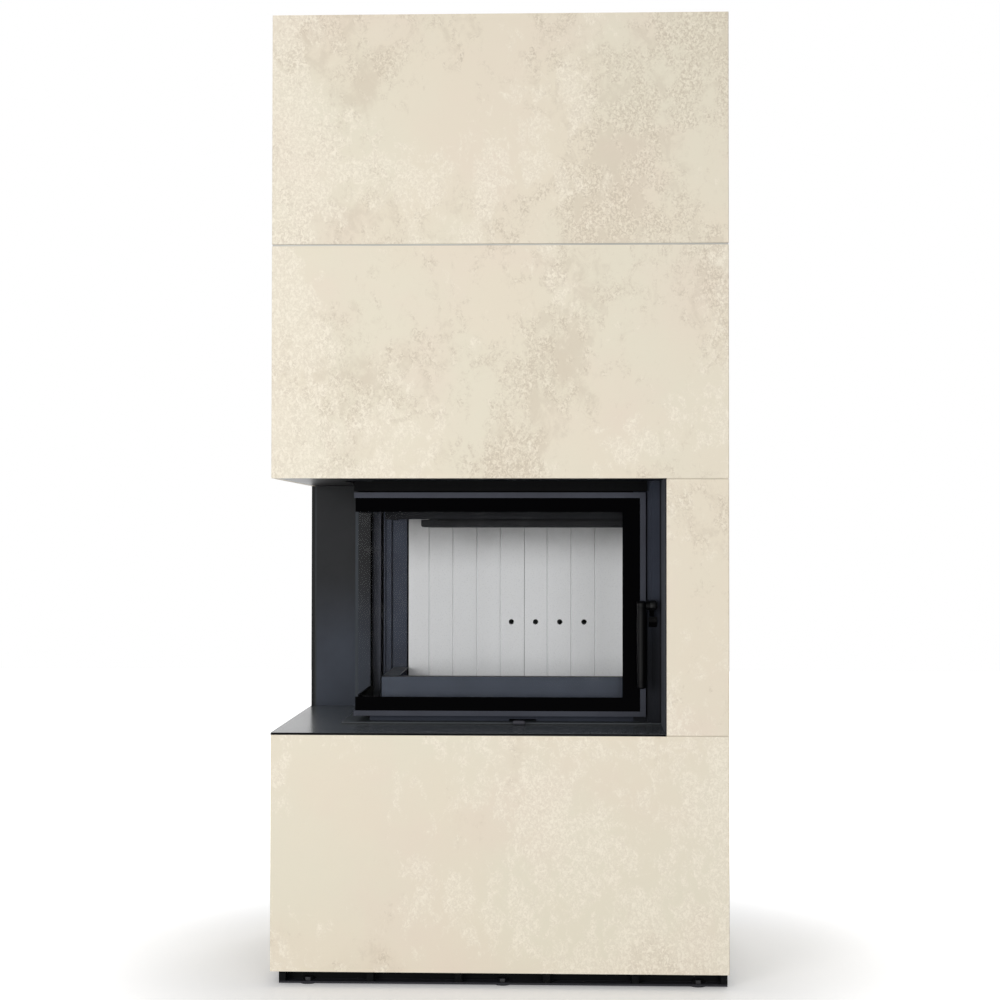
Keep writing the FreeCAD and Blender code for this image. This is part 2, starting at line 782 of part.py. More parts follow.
# Hearth tray, log bars, grooved fireproof linings and baffle
def make_hearth():
    fold = d.frame_sheet
    tray = new_body("hearth_tray", hearth_left, hearth_front, base_top)
    wide = fire_right - hearth_left
    deep = fire_back - hearth_front
    notch_x = door_left + seal_depth + d.post_reach + d.seat_gap - hearth_left
    notch_y = hinge_y - d.post_front - d.seat_gap - hearth_front
    aprons = [(0, 0), (wide, 0), (wide, fold), (fold, fold), (fold, notch_y), (0, notch_y)]
    Outline(tray, "XY").polygon(aprons).pad(d.hearth_height)
    plate = d.plate_thickness
    edge = [(0, 0), (wide, 0), (wide, deep), (notch_x, deep), (notch_x, notch_y), (0, notch_y)]
    Outline(tray, "XY", d.hearth_height - plate).polygon(edge).pad(plate)
    lever_slot(tray, hearth_left, sized(0))

    high = d.log_bar_height
    flange = d.log_bar_width
    angle = [(0, 0), (fold, 0), (fold, high - fold), (flange, high - fold), (flange, high), (0, high)]
    bar = new_body("log_bar_front", hearth_left, hearth_front, hearth_top)
    Outline(bar, "YZ").polygon(angle).pad(wide)
    side_start = hearth_front + flange + d.seat_gap
    side_end = fire_back - d.lining_thickness - d.seat_gap
    side_bar = new_body("log_bar_left", hearth_left, side_start, hearth_top)
    Outline(side_bar, "XZ").polygon(angle).pad(side_end - side_start)

    gap = d.seat_gap
    thick = d.lining_thickness
    lining_front = fire_back - thick
    low = (hearth_left + fold + gap, hearth_front + fold + gap, hearth_top)
    block("floor_lining", low, (lining_right - gap, lining_front - gap, hearth_top + thick))
    baffle_left = hearth_left + d.baffle_left_gap
    lead = d.groove_start - d.post_gap
    rear_lining("rear_lining_left", lining_left, lining_seam - d.lining_joint, lead, baffle_left - gap)
    rear_lining("rear_lining_right", lining_seam, lining_right - gap, d.groove_start)

    side = new_body("right_lining", lining_right, side_start, hearth_top)
    side_deep = fire_back - side_start
    Outline(side, "XY").rectangle((0, 0), (thick, side_deep)).pad(lining_height)
    grooves(side, side_deep, "V_Axis", d.groove_start)

    baffle_front = hearth_front + d.baffle_front_gap
    baffle = new_body("baffle", baffle_left, baffle_front, hearth_top + lining_height)
    wide = fire_right - gap - baffle_left
    high = d.baffle_thickness
    slant = d.baffle_slant
    section = Outline(baffle, "XZ").polygon([(slant, 0), (wide, 0), (wide, high), (0, high), (0, slant)])
    section.pad(fire_back - gap - baffle_front)

    guide = new_body("air_guide", door_left, door_front, flange_low - d.guide_height)
    far = d.guide_setback + fold
    ends = (fire_right - door_left, door_side - d.post_front - gap)
    corner_strip(Outline(guide, "XY"), d.guide_setback, far, *ends).pad(d.guide_height)
    corner_strip(Outline(guide, "XY", d.guide_height - fold), wall_depth, far, *ends).pad(fold)


# V grooves down the face of a lining, repeated at a fixed pitch
def grooves(body, length, axis, start):
    cut = Outline(body, "XY", -d.cut_overrun)
    wide = d.groove_width
    deep = d.groove_depth
    points = [(start - wide, -deep), (start + wide, -deep), (start, deep)]
    if axis == "V_Axis":
        points = [(y, x) for x, y in points]
    made = cut.polygon(points).pocket(lining_height + d.cut_overrun * 2)
    row = body.newObject("PartDesign::LinearPattern", body.Label + "_grooves")
    row.Originals = [made]
    row.Direction = (cut.sketch, [axis])
    steps = "floor(%s)" % ((length - start - d.groove_pitch / 2) / d.groove_pitch).text
    row.setExpression("Length", "%s * %s" % (steps, d.groove_pitch.text))
    row.setExpression("Occurrences", "%s + 1" % steps)
    body.Tip = row


def rear_lining(label, start, end, lead, tab_end=None):
    body = new_body(label, start, fire_back - d.lining_thickness, hearth_top)
    corners = [(0, 0), (end - start, 0), (end - start, lining_height)]
    if tab_end:
        tab = tab_end - start
        corners += [(tab, lining_height), (tab, lining_height + d.lining_upstand)]
        corners.append((0, lining_height + d.lining_upstand))
    else:
        corners.append((0, lining_height))
    outline = Outline(body, "XZ").polygon(corners)
    for x, z in air_hole_spots():
        if start.number < x.number < end.number:
            outline.circle((x - start, z - hearth_top), d.air_hole_radius)
    outline.pad(d.lining_thickness)
    grooves(body, end - start, "H_Axis", lead)


# Glazed door that turns the corner, hung at the rear of its side leg
def make_door():
    depth = d.rail_depth
    groove_near = d.glass_setback - d.seat_gap
    groove_far = d.glass_setback + d.glass_thickness + d.seat_gap
    groove_right = door_width - d.stile_width + d.glass_groove
    groove_rear = door_side - d.rear_stile_start + d.glass_groove
    rails = {
        "door_bottom_rail": (door_bottom, d.bottom_rail_height, d.bottom_rail_height - d.glass_groove),
        "door_top_rail": (door_top - d.top_rail_height, d.top_rail_height, -d.cut_overrun),
    }
    for label, (level, height, groove_level) in rails.items():
        rail = new_body(label, door_left, door_front, level)
        corner_strip(Outline(rail, "XY"), 0, depth, door_width, door_side).pad(height)
        axis = (depth / 2, door_side)
        Outline(rail, "XY").circle(axis, depth / 2).pad(height)
        hole = Outline(rail, "XY", -d.cut_overrun).circle(axis, d.hinge_pin_radius + d.hinge_clearance)
        hole.pocket(height + d.cut_overrun * 2)
        groove = Outline(rail, "XY", groove_level)
        corner_strip(groove, groove_near, groove_far, groove_right, groove_rear)
        groove.pocket(d.glass_groove + d.cut_overrun)

    stile_low = door_bottom + d.bottom_rail_height
    stile_height = door_top - d.top_rail_height - stile_low
    wide = d.stile_width
    bite = d.glass_groove
    stile = new_body("door_right_stile", door_right - wide, door_front, stile_low)
    section = [(bite, 0), (wide, 0), (wide, depth), (0, depth), (0, groove_far), (bite, groove_far)]
    Outline(stile, "XY").polygon(section).pad(stile_height)
    wide = d.rear_stile_width
    rear = new_body("door_rear_stile", door_left, hinge_y - d.rear_stile_start, stile_low)
    section = [(0, 0), (groove_near, 0), (groove_near, bite), (groove_far, bite), (groove_far, 0)]
    section += [(depth, 0), (depth, wide), (0, wide)]
    Outline(rear, "XY").polygon(section).pad(stile_height)

    gap = d.seat_gap
    glass_x = door_left + d.glass_setback
    glass_y = door_front + d.glass_setback
    glass_low = stile_low - bite + gap
    glass_high = stile_low + stile_height + bite - gap
    behind = glass_y + d.glass_thickness
    block("front_glass", (glass_x, glass_y, glass_low), (door_left + groove_right - gap, behind, glass_high))
    side_high = (glass_x + d.glass_thickness, door_front + groove_rear - gap, glass_high)
    block("side_glass", (glass_x, behind + gap, glass_low), side_high)

    seal = new_body("door_seal", door_left, door_front, door_bottom)
    near = depth
    far = seal_depth - gap
    wide = d.seal_width
    margin = d.seal_margin
    right_end = door_width - margin
    rear_end = door_side - d.rear_stile_start + (d.rear_stile_width + wide) / 2
    for level in (margin, door_height - margin - wide):
        corner_strip(Outline(seal, "XY", level), near, far, right_end, rear_end).pad(wide)
    height = door_height - margin * 2
    Outline(seal, "XY", margin).rectangle((right_end - wide, near), (right_end, far)).pad(height)
    Outline(seal, "XY", margin).rectangle((near, rear_end - wide), (far, rear_end)).pad(height)


def make_hinge():
    pin = d.hinge_pin_radius
    collar = d.hinge_collar_radius
    length = d.hinge_pin_length
    low_rise = door_bottom - base_top
    lower = [cylinder(hinge_x, hinge_y, base_top, collar, low_rise - d.seat_gap)]
    lower.append(cylinder(hinge_x, hinge_y, base_top, pin, low_rise + length))
    upper = [cylinder(hinge_x, hinge_y, door_top + d.seat_gap, collar, d.door_gap - d.seat_gap)]
    upper.append(cylinder(hinge_x, hinge_y, door_top - length, pin, length + d.door_gap))
    group("hinge_pins", [fuse("lower_hinge_pin", lower), fuse("upper_hinge_pin", upper)])


# Handle on a level shaft, with the latch cam at its end
def make_handle():
    pivot_y = door_front - d.pivot_standoff
    pivot_z = door_bottom + d.handle_height
    handle_x = door_right - d.handle_inset
    bracket_x = handle_x - d.bracket_width / 2
    half = d.bracket_drop / 2
    shaft_hole = d.shaft_radius + d.hinge_clearance
    bracket = new_body("handle_bracket", bracket_x, pivot_y, pivot_z)
    Outline(bracket, "YZ").rectangle((0, -half), (d.pivot_standoff, half)).pad(d.bracket_width)
    Outline(bracket, "YZ").circle((0, 0), d.boss_radius).pad(d.bracket_width)
    hole = Outline(bracket, "YZ", -d.cut_overrun).circle((0, 0), shaft_hole)
    hole.pocket(d.bracket_width + d.cut_overrun * 2)

    shaft = new_body("handle_shaft", bracket_x, pivot_y, pivot_z)
    arm_start = d.bracket_width / 2 + d.grip_radius
    arm_reach = d.grip_standoff - d.pivot_standoff
    Outline(shaft, "YZ").circle((0, 0), d.shaft_radius).pad(arm_start + d.arm_thickness + d.cam_thickness)
    for end in (0, -arm_reach):
        Outline(shaft, "YZ", arm_start).circle((end, 0), d.arm_radius).pad(d.arm_thickness)
    link = Outline(shaft, "YZ", arm_start).rectangle((-arm_reach, -d.arm_radius), (0, d.arm_radius))
    link.pad(d.arm_thickness)

    grip_low = pivot_z + d.grip_top - d.grip_length
    grip = new_body("handle_grip", handle_x, door_front - d.grip_standoff, grip_low)
    Outline(grip, "XY").circle((0, 0), d.grip_radius).pad(d.grip_length)
    eased(grip, "Chamfer", d.grip_round, lambda edge: edge.Curve.TypeId == "Part::GeomCircle")
    Outline(grip, "YZ").circle((0, d.grip_length - d.grip_top), d.stub_radius).pad(d.grip_radius)

    cam = new_body("latch_cam", handle_x + d.grip_radius + d.arm_thickness, pivot_y, pivot_z)
    cam_heel_share = 0.6
    heel = d.cam_radius * cam_heel_share
    Outline(cam, "YZ").circle((0, 0), d.cam_radius).pad(d.cam_thickness)
    deep = d.cam_nose_depth
    nose = [(-heel, -heel), (heel, 0), (deep, d.cam_nose_height - d.cam_nose), (deep, -d.cam_nose)]
    nose += [(deep / 2, -d.cam_nose)]
    Outline(cam, "YZ").polygon(nose).pad(d.cam_thickness)
    hole = Outline(cam, "YZ", -d.cut_overrun).circle((0, 0), shaft_hole)
    hole.pocket(d.cam_thickness + d.cut_overrun * 2)

    keeper_x = handle_x + d.grip_radius + d.arm_thickness + (d.cam_thickness - d.keeper_width) / 2
    keeper_top = pivot_z - d.cam_nose - d.keeper_gap
    keeper = new_body("latch_keeper", keeper_x + d.door_gap, door_front, keeper_top - d.keeper_height)
    high = d.keeper_height
    ramp = [(0, 0), (0, high), (-d.keeper_depth, high), (-d.keeper_depth, high / 2)]
    Outline(keeper, "YZ").polygon(ramp).pad(d.keeper_width)


def make_air_control():
    slide = new_body("air_slide", lever_x, box_front, base_top + d.seat_gap)
    half = d.slide_width / 2
    low_y = (d.air_box_depth - d.slide_depth) / 2
    high_y = low_y + d.slide_depth
    lever_half = d.lever_width / 2
    lever_end = base_front - d.knob_gap - box_front
    edge = [(-half, low_y), (-lever_half, low_y), (-lever_half, lever_end), (lever_half, lever_end)]
    edge += [(lever_half, low_y), (half, low_y), (half, high_y), (-half, high_y)]
    outline = Outline(slide, "XY").polygon(edge)
    air_slots(outline, sized(0), sized(0))
    outline.pad(d.frame_sheet)

    knob_front = base_front - d.knob_gap - d.knob_depth
    knob_low = (lever_x - d.knob_width / 2, knob_front, ledge_top + d.knob_clearance)
    knob_high = [low + size for low, size in zip(knob_low, (d.knob_width, d.knob_depth, d.knob_height))]
    knob = block("air_knob", knob_low, knob_high)
    eased(knob, "Fillet", d.knob_round, lambda edge: edge.BoundBox.ZLength > edge.BoundBox.DiagonalLength / 2)


make_slabs()
make_frame()
make_plinth()
make_niche()
make_covers()
make_insert_base()
make_insert_frame()
make_firebox()
make_hearth()
make_door()
make_hinge()
make_handle()
make_air_control()
doc.recompute()

failed = [item.Label for item in doc.Objects if "Invalid" in item.State or "Error" in item.State]
failed += [node.Label for node in nodes if node.Shape.isNull() or not node.Shape.isValid()]
if failed:
    raise RuntimeError("not built: " + ", ".join(failed))

os.makedirs("parts", exist_ok=True)
for node in nodes:
    node.Shape.exportStep("parts/%s.step" % node.Label)
    print(node.Label, len(node.Shape.Solids), round(node.Shape.Volume))
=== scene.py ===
import math

import bmesh
import bpy
from mathutils import Matrix, Vector


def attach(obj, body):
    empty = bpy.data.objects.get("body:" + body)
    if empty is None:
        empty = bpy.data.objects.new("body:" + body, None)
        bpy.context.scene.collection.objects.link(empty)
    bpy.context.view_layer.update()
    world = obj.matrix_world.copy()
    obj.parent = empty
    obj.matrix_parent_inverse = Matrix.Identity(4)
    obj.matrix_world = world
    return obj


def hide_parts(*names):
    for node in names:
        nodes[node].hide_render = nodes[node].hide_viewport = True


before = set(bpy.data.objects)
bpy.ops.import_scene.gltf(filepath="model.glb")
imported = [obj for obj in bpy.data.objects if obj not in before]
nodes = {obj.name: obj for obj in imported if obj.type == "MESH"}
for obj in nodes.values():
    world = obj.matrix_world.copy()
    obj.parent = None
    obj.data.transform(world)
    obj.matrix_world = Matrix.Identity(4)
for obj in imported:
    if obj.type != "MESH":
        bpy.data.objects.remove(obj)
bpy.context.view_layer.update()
scene = bpy.context.scene
scene.view_settings.view_transform = "Standard"
print("frame loaded,", len(nodes), "nodes")


def tone(code):  # written colour to the linear numbers a shader takes
    parts = [int(code[i:i + 2], 16) / 255 for i in (0, 2, 4)]
    line = [c / 12.92 if c <= 0.04045 else ((c + 0.055) / 1.055) ** 2.4 for c in parts]
    return (*line, 1.0)


class Wire:  # a socket that can be added, multiplied and mixed
    def __init__(self, socket):
        self.socket = socket
        self.tree = socket.id_data

    def node(self, kind, settings=None, inputs=None, out=0):
        made = self.tree.nodes.new(kind)
        for name, value in (settings or {}).items():
            setattr(made, name, value)
        for key, value in (inputs or {}).items():
            if isinstance(value, Wire):
                self.tree.links.new(value.socket, made.inputs[key])
            else:
                made.inputs[key].default_value = value
        return Wire(made.outputs[out])

    def calc(self, operation, first, second=0.0):
        return self.node("ShaderNodeMath", {"operation": operation}, {0: first, 1: second})

    def __add__(self, other):
        return self.calc("ADD", self, other)

    __radd__ = __add__

    def __mul__(self, other):
        return self.calc("MULTIPLY", self, other)

    __rmul__ = __mul__

    def __sub__(self, other):
        return self.calc("SUBTRACT", self, other)

    def __rsub__(self, other):
        return self.calc("SUBTRACT", other, self)

    def __truediv__(self, other):
        return self.calc("DIVIDE", self, other)

    def __rtruediv__(self, other):
        return self.calc("DIVIDE", other, self)

    def __gt__(self, other):
        return self.calc("GREATER_THAN", self, other)

    def __lt__(self, other):
        return self.calc("LESS_THAN", self, other)

    def most(self, other):
        return self.calc("MAXIMUM", self, other)

    def least(self, other):
        return self.calc("MINIMUM", self, other)

    def band(self, low, high):  # soft step from 0 at low to 1 at high
        steps = {"interpolation_type": "SMOOTHSTEP"}
        return self.node("ShaderNodeMapRange", steps, {0: self, 1: low, 2: high, 3: 0.0, 4: 1.0})

    def between(self, low, high):  # 1 inside, 0 outside
        return (self > low) * (self < high)

    def mix(self, first, second):  # colours, by this value
        return self.node("ShaderNodeMix", {"data_type": "RGBA"}, {0: self, 6: first, 7: second}, 2)

    def speck(self, scale, detail=3.0, rough=0.5, bend=0.0, out=0):
        values = {"Vector": self, "Scale": scale, "Detail": detail, "Roughness": rough, "Distortion": bend}
        return self.node("ShaderNodeTexNoise", None, values, out)

    def cells(self, scale, out="Distance", feature="F1"):
        values = {"Vector": self, "Scale": scale}
        return self.node("ShaderNodeTexVoronoi", {"feature": feature}, values, out)

    def stretch(self, scale, move=(0, 0, 0)):
        return self.node("ShaderNodeMapping", None, {"Vector": self, "Scale": scale, "Location": move})

    def add(self, other):  # vectors
        return self.node("ShaderNodeVectorMath", {"operation": "ADD"}, {0: self, 1: other})

    def scaled(self, size):
        return self.node("ShaderNodeVectorMath", {"operation": "SCALE"}, {0: self, "Scale": size})

    def axes(self):
        split = self.node("ShaderNodeSeparateXYZ", None, {0: self})
        return [Wire(o) for o in split.socket.node.outputs]

    def bump(self, strength, depth):
        return self.node("ShaderNodeBump", None, {"Strength": strength, "Distance": depth, "Height": self})


class Finish:  # a material with its shader and the piece's own coordinates
    sockets = {"colour": "Base Color", "rough": "Roughness", "normal": "Normal", "metal": "Metallic",
               "coat": "Coat Weight"}

    def __init__(self, name, fixed=None):
        self.material = bpy.data.materials.new(name)
        self.material.use_nodes = True
        self.tree = self.material.node_tree
        self.shader = self.tree.nodes["Principled BSDF"]
        self.place = Wire(self.tree.nodes.new("ShaderNodeTexCoord").outputs["Object"])
        for socket, value in (fixed or {}).items():
            self.shader.inputs[socket].default_value = value

    def feed(self, **wires):
        for key, wire in wires.items():
            self.tree.links.new(wire.socket, self.shader.inputs[self.sockets[key]])
        return self.material


slabLook = {
    "cream": tone("e4dac7"), "pale": tone("f1e9d9"), "grey": tone("c6b9a6"), "stain": tone("dacdba"),
    "rose": tone("e4d6c6"), "green": tone("e2dcc9"), "shine": 0.25, "rough": 0.55, "relief": (0.15, 0.0006),
    "courses": [(0.520, 1.7), (1.051, 2.3), (1.538, 3.1)],  # height of a joint, step of what is above
    "shift": (1, 0.6, 0.3),
    "noise": {  # squeeze in height, place, scale, detail, roughness, bend
        "clouds": (1.0, (0, 0, 0), 3.4, 3, 0.50, 0.2),
        "warm": (1.0, (9, 3, 2), 3.8, 3, 0.50, 0.2),
        "drift": (0.8, (4, 1, 7), 3.3, 7, 0.62, 0.3),
        "patch": (0.85, (6, 5, 3), 3.9, 7, 0.62, 0.3),
        "ragged": (0.8, (1, 7, 4), 34, 6, 0.70, 0.6),
        "chips": (0.7, (8, 2, 5), 30, 6, 0.70, 0.6),
        "calm": (0.8, (2, 9, 6), 22, 3, 0.50, 0.4),
        "pick": (0.8, (3, 2, 9), 175, 2, 0.60, 0.7),
        "fine": (1.0, (0, 0, 0), 520, 2, 0.60, 0.0),
    },
    "grain": 140, "sway": (95, 2), "bend": 0.013,  # creases of the grain, and how they waver
    "cornerX": (-0.1, 0.4), "cornerZ": (0.95, 1.7), "footZ": (0.45, 0.60),
    "flakeX": (-0.1, 0.35), "flakeZ": (0.3, 0.8),
    "leftX": (-0.45, -0.25), "leftFrom": 1.05, "leftZ": (1.66, 1.94),
    "bands": {
        "clouds": (0.35, 0.65), "warm": (0.46, 0.70), "stain": (0.52, 0.70), "worn": (0.49, 0.64),
        "fresh": (0.52, 0.61), "calm": (0.50, 0.62), "crease": (0.26, 0.02), "dark": (0.62, 0.40),
        "light": (0.50, 0.66), "grit": (0.54, 0.72), "raised": (0.0, 0.3),
    },
    "share": {
        "green": 0.7, "rose": 0.6, "stain": 0.45, "edge": 0.60, "cornerWorn": 0.12, "footWorn": 0.09,
        "cornerFresh": 0.05, "flakes": 0.15, "rubDark": 0.60, "wornCalm": 0.16, "wornAll": 0.16,
        "rubLight": 0.52, "freshLight": 0.45, "freshAll": 0.40, "freshDark": 0.22, "grit": 0.08,
        "fineRough": 0.10, "darkRough": 0.10, "raised": 0.7, "fineRaised": 0.3,
    },
}


def slabStone():
    look, band, share = slabLook, slabLook["bands"], slabLook["share"]
    made = Finish("slabStone", {"Specular IOR Level": look["shine"]})
    x, z = made.place.axes()[::2]
    course = sum((z > joint) * step for joint, step in look["courses"])  # each course is its own slab
    steps = {k: course * part for k, part in enumerate(look["shift"])}
    at = made.place.add(course.node("ShaderNodeCombineXYZ", None, steps))
    clouds, warm, drift, patch, ragged, chips, calm, pick, fine = [
        at.stretch((1, 1, tall), move).speck(*values) for tall, move, *values in look["noise"].values()
    ]
    sway = at.speck(*look["sway"], out="Color")
    crease = at.add(sway.scaled(look["bend"])).cells(look["grain"], "Distance", "DISTANCE_TO_EDGE")
    corner = x.band(*look["cornerX"]) * z.band(*look["cornerZ"])  # more wear at the upper right
    foot = 1 - z.band(*look["footZ"])  # less of it near the floor
    left = (1 - x.band(*look["leftX"])) * (z > look["leftFrom"]) * (1 - z.band(*look["leftZ"]))
    right = x.band(*look["flakeX"]) * (1 - z.band(*look["flakeZ"]))
    flakes = right + left  # pale flakes, low on the right and along the left
    worn = drift + (ragged - 0.5) * share["edge"] + corner * share["cornerWorn"] - foot * share["footWorn"]
    worn = worn.band(*band["worn"])
    fresh = patch + (chips - 0.5) * share["edge"] - corner * share["cornerFresh"] + flakes * share["flakes"]
    fresh = fresh.band(*band["fresh"])
    calm = calm.band(*band["calm"])  # smooth islands in the worn patches
    rub = worn * (1 - calm)
    dark = crease.band(*band["crease"]) * pick.band(*band["dark"])  # leathery grain with dark creases
    light = pick.band(*band["light"])
    base = (clouds.band(*band["clouds"]) * share["green"]).mix(look["cream"], look["green"])
    base = (warm.band(*band["warm"]) * share["rose"]).mix(base, look["rose"])
    base = (drift.band(*band["stain"]) * share["stain"]).mix(base, look["stain"])
    rubbed = rub * dark * share["rubDark"] + worn * (calm * share["wornCalm"] + share["wornAll"])
    base = rubbed.mix(base, look["grey"])
    base = (rub * light * share["rubLight"]).mix(base, look["pale"])
    base = (fresh * (light * share["freshLight"] + share["freshAll"])).mix(base, look["pale"])
    grit = fine.band(*band["grit"]) * share["grit"]
    base = (fresh * dark * share["freshDark"] + grit).mix(base, look["grey"])
    rough = fine * share["fineRough"] + worn * dark * share["darkRough"]
    relief = crease.band(*band["raised"]) * (worn + fresh) * share["raised"] + fine * share["fineRaised"]
    return made.feed(colour=base, rough=rough + (look["rough"] - share["fineRough"] / 2),
                     normal=relief.bump(*look["relief"]))


sprayLook = {
    "drift": (6, 5, 0.6, 0.4), "pebble": (1400, 2, 0.5), "scuff": (90, 4, 0.7), "scuffAlong": 0.12,
    "scuffAt": (3, 3, 1), "driftBand": (0.3, 0.7), "scuffBand": (0.5, 0.75), "uneven": 0.7,
    "driftGloss": 0.12, "scuffGloss": 0.06, "evenGloss": 0.08, "paintedLightLineGrain": 0.2, "paintedLightLine": 0.85,
    "depth": 0.0003,
}


def paint(name, dark, pale, rough, shine=0.4, grain=0.1, shadeFade=None, paintedLightLine=None):  # sprayed steel, pebbled
    look = sprayLook
    made = Finish(name, {"Specular IOR Level": shine})
    dark, pale = tone(dark), tone(pale)
    if shadeFade:  # painted shade: the tone changes with the height, darker at the top of the niche panel and low on the insert's right frame
        low, high, topDark, topPale = shadeFade
        shadeRise = made.place.axes()[2].band(low, high)
        dark, pale = shadeRise.mix(dark, tone(topDark)), shadeRise.mix(pale, tone(topPale))
    drift = made.place.speck(*look["drift"])
    pebble = made.place.speck(*look["pebble"])
    scuff = made.place.stretch((1, 1, look["scuffAlong"]), look["scuffAt"]).speck(*look["scuff"])
    base = drift.band(*look["driftBand"]) * look["uneven"] + pebble * (1 - look["uneven"])
    base = base.mix(dark, pale)
    if paintedLightLine:  # a line in another tone, by place: painted shade along edges and gaps, and a painted highlight on the plinth's foot
        axis, low, high, other = paintedLightLine
        inside = made.place.axes()["xyz".index(axis)].between(low, high)
        base = (inside * (pebble * look["paintedLightLineGrain"] + look["paintedLightLine"])).mix(base, tone(other))
    gloss = drift * look["driftGloss"] + scuff.band(*look["scuffBand"]) * look["scuffGloss"]
    return made.feed(colour=base, rough=gloss + (rough - look["evenGloss"]),
                     normal=pebble.bump(grain, look["depth"]))


paints = {
    # the niche's rear panel: painted shade, darker towards the top under the soffit
    "casing": {"name": "casingShadePaint", "dark": "373b43", "pale": "414650", "rough": 0.5, "shine": 0.1,
               "shadeFade": (0.62, 0.86, "242527", "2b2c2e")},
    # the corner trim: painted shade along its left edge
    "trimPost": {"name": "trimPaint", "dark": "2f3235", "pale": "383b3e", "rough": 0.5, "shine": 0.1,
                 "paintedLightLine": ("x", -0.4752, -0.4672, "141516")},
    # the base plate: painted shade along its foot on the ledge
    "plate": {"name": "platePaint", "dark": "43474a", "pale": "4c5054", "rough": 0.4, "shine": 0.2,
              "grain": 0.02, "paintedLightLine": ("z", 0.5235, 0.5258, "121315")},
    # the right jamb: painted shade along its front edge beside the slab
    "jamb": {"name": "jambPaint", "dark": "43464c", "pale": "4c4f55", "rough": 0.5, "shine": 0.1,
             "grain": 0.05, "paintedLightLine": ("y", -0.3355, -0.3270, "131416")},
    # the insert's right frame: painted shade, dark low down and lighter at the top, with a painted shade
    # line at the gap to the jamb
    "shadedFrameRight": {"name": "frameRightShadePaint", "dark": "1a1c21", "pale": "212329", "rough": 0.5,
                   "shine": 0.1, "shadeFade": (0.68, 0.84, "313540", "3b404c"),
                   "paintedLightLine": ("x", 0.3412, 0.3442, "0a0b0c")},
    # the soffit: painted shade, a near-black tone as it lies in shade
    "soffit": {"name": "soffitShadePaint", "dark": "0e0f10", "pale": "17181a", "rough": 0.34, "shine": 0.25},
    # the insert's top frame: painted shade, near black as it lies in shade behind the soffit
    "shadedTopFrame": {"name": "topFrameShadePaint", "dark": "060607", "pale": "0c0d0e", "rough": 0.55, "shine": 0.04},
    "insert": {"name": "insertPaint", "dark": "313540", "pale": "3b404c", "rough": 0.5, "shine": 0.1},
    # the front log bar: painted shade along its top
    "hearth": {"name": "hearthPaint", "dark": "3a3f49", "pale": "454b57", "rough": 0.5, "shine": 0.12,
               "paintedLightLine": ("z", 0.6222, 0.63, "111215")},
    "sideBar": {"name": "sideBarPaint", "dark": "3f4247", "pale": "4a4d53", "rough": 0.5, "shine": 0.12},
    "door": {"name": "doorPaint", "dark": "393b43", "pale": "454852", "rough": 0.45, "shine": 0.12},
    "knob": {"name": "knobPaint", "dark": "3a3a40", "pale": "48484f", "rough": 0.42, "shine": 0.15},
    "black": {"name": "blackPaint", "dark": "040404", "pale": "0a0a0b", "rough": 0.42, "shine": 0.09},
    "hub": {"name": "hubPaint", "dark": "0d0d0e", "pale": "161618", "rough": 0.3, "grain": 0.02},
    # the plinth: a painted highlight on its bottom flange
    "plinth": {"name": "plinthPaint", "dark": "060607", "pale": "0d0e0f", "rough": 0.45, "shine": 0.06,
               "paintedLightLine": ("z", 0.0, 0.0062, "333338")},
    "heat": {"name": "heatPaint", "dark": "131416", "pale": "1b1c1f", "rough": 0.6, "shine": 0.05},
    "trim": {"name": "jointTrim", "dark": "b3b1ac", "pale": "c3c1bb", "rough": 0.45},
    "grout": {"name": "jointGrout", "dark": "cfc6b5", "pale": "ddd4c3", "rough": 0.8, "shine": 0.1},
}

ledgeLook = {
    "grey": tone("4c5053"), "pale": tone("55595d"), "edge": tone("0d0e0f"), "lip": 0.5237, "shine": 0.02,
    "rough": 0.5, "coat": 0.84, "coatRough": 0.22, "drift": (5, 4, 0.55, 0.4), "driftBand": (0.3, 0.7),
    "peel": (320, 2, 0.5), "uneven": 0.7, "driftGloss": 0.1, "relief": (0.01, 0.0002),
}


def ledgeSheet():  # lacquered top, dark folded lip
    look = ledgeLook
    made = Finish("ledgeSheet", {"Specular IOR Level": look["shine"], "Coat Roughness": look["coatRough"]})
    drift = made.place.speck(*look["drift"])
    peel = made.place.speck(*look["peel"])
    top = made.place.axes()[2] > look["lip"]
    base = drift.band(*look["driftBand"]) * look["uneven"] + peel * (1 - look["uneven"])
    return made.feed(
        colour=top.mix(look["edge"], base.mix(look["grey"], look["pale"])),
        rough=drift * look["driftGloss"] + look["rough"],
        coat=top * (drift * (1 - look["coat"]) + look["coat"]), normal=peel.bump(*look["relief"]),
    )


zincLook = {
    "flowers": 55, "drift": (9, 5, 0.6), "brushed": (700, 2, 0.5), "brushedAlong": 0.02, "flowerTone": 0.6,
    "flowerGloss": 0.14, "driftGloss": 0.1, "metal": 0.82, "driftMetal": 0.1, "relief": (0.05, 0.0004),
}


def zinc(name, dark, pale, rough):  # plated sheet with its crystal flowers
    look = zincLook
    made = Finish(name)
    flower = made.place.cells(look["flowers"], "Color").axes()[0]
    drift = made.place.speck(*look["drift"])
    brushed = made.place.stretch((1, 1, look["brushedAlong"])).speck(*look["brushed"])
    other = 1 - look["flowerTone"]
    gloss = flower * look["flowerGloss"] + drift * look["driftGloss"]
    return made.feed(
        colour=(flower * look["flowerTone"] + drift * other).mix(tone(dark), tone(pale)),
        rough=gloss + (rough - look["driftGloss"]), metal=drift * look["driftMetal"] + look["metal"],
        normal=(brushed * other + flower * look["flowerTone"]).bump(*look["relief"]),
    )


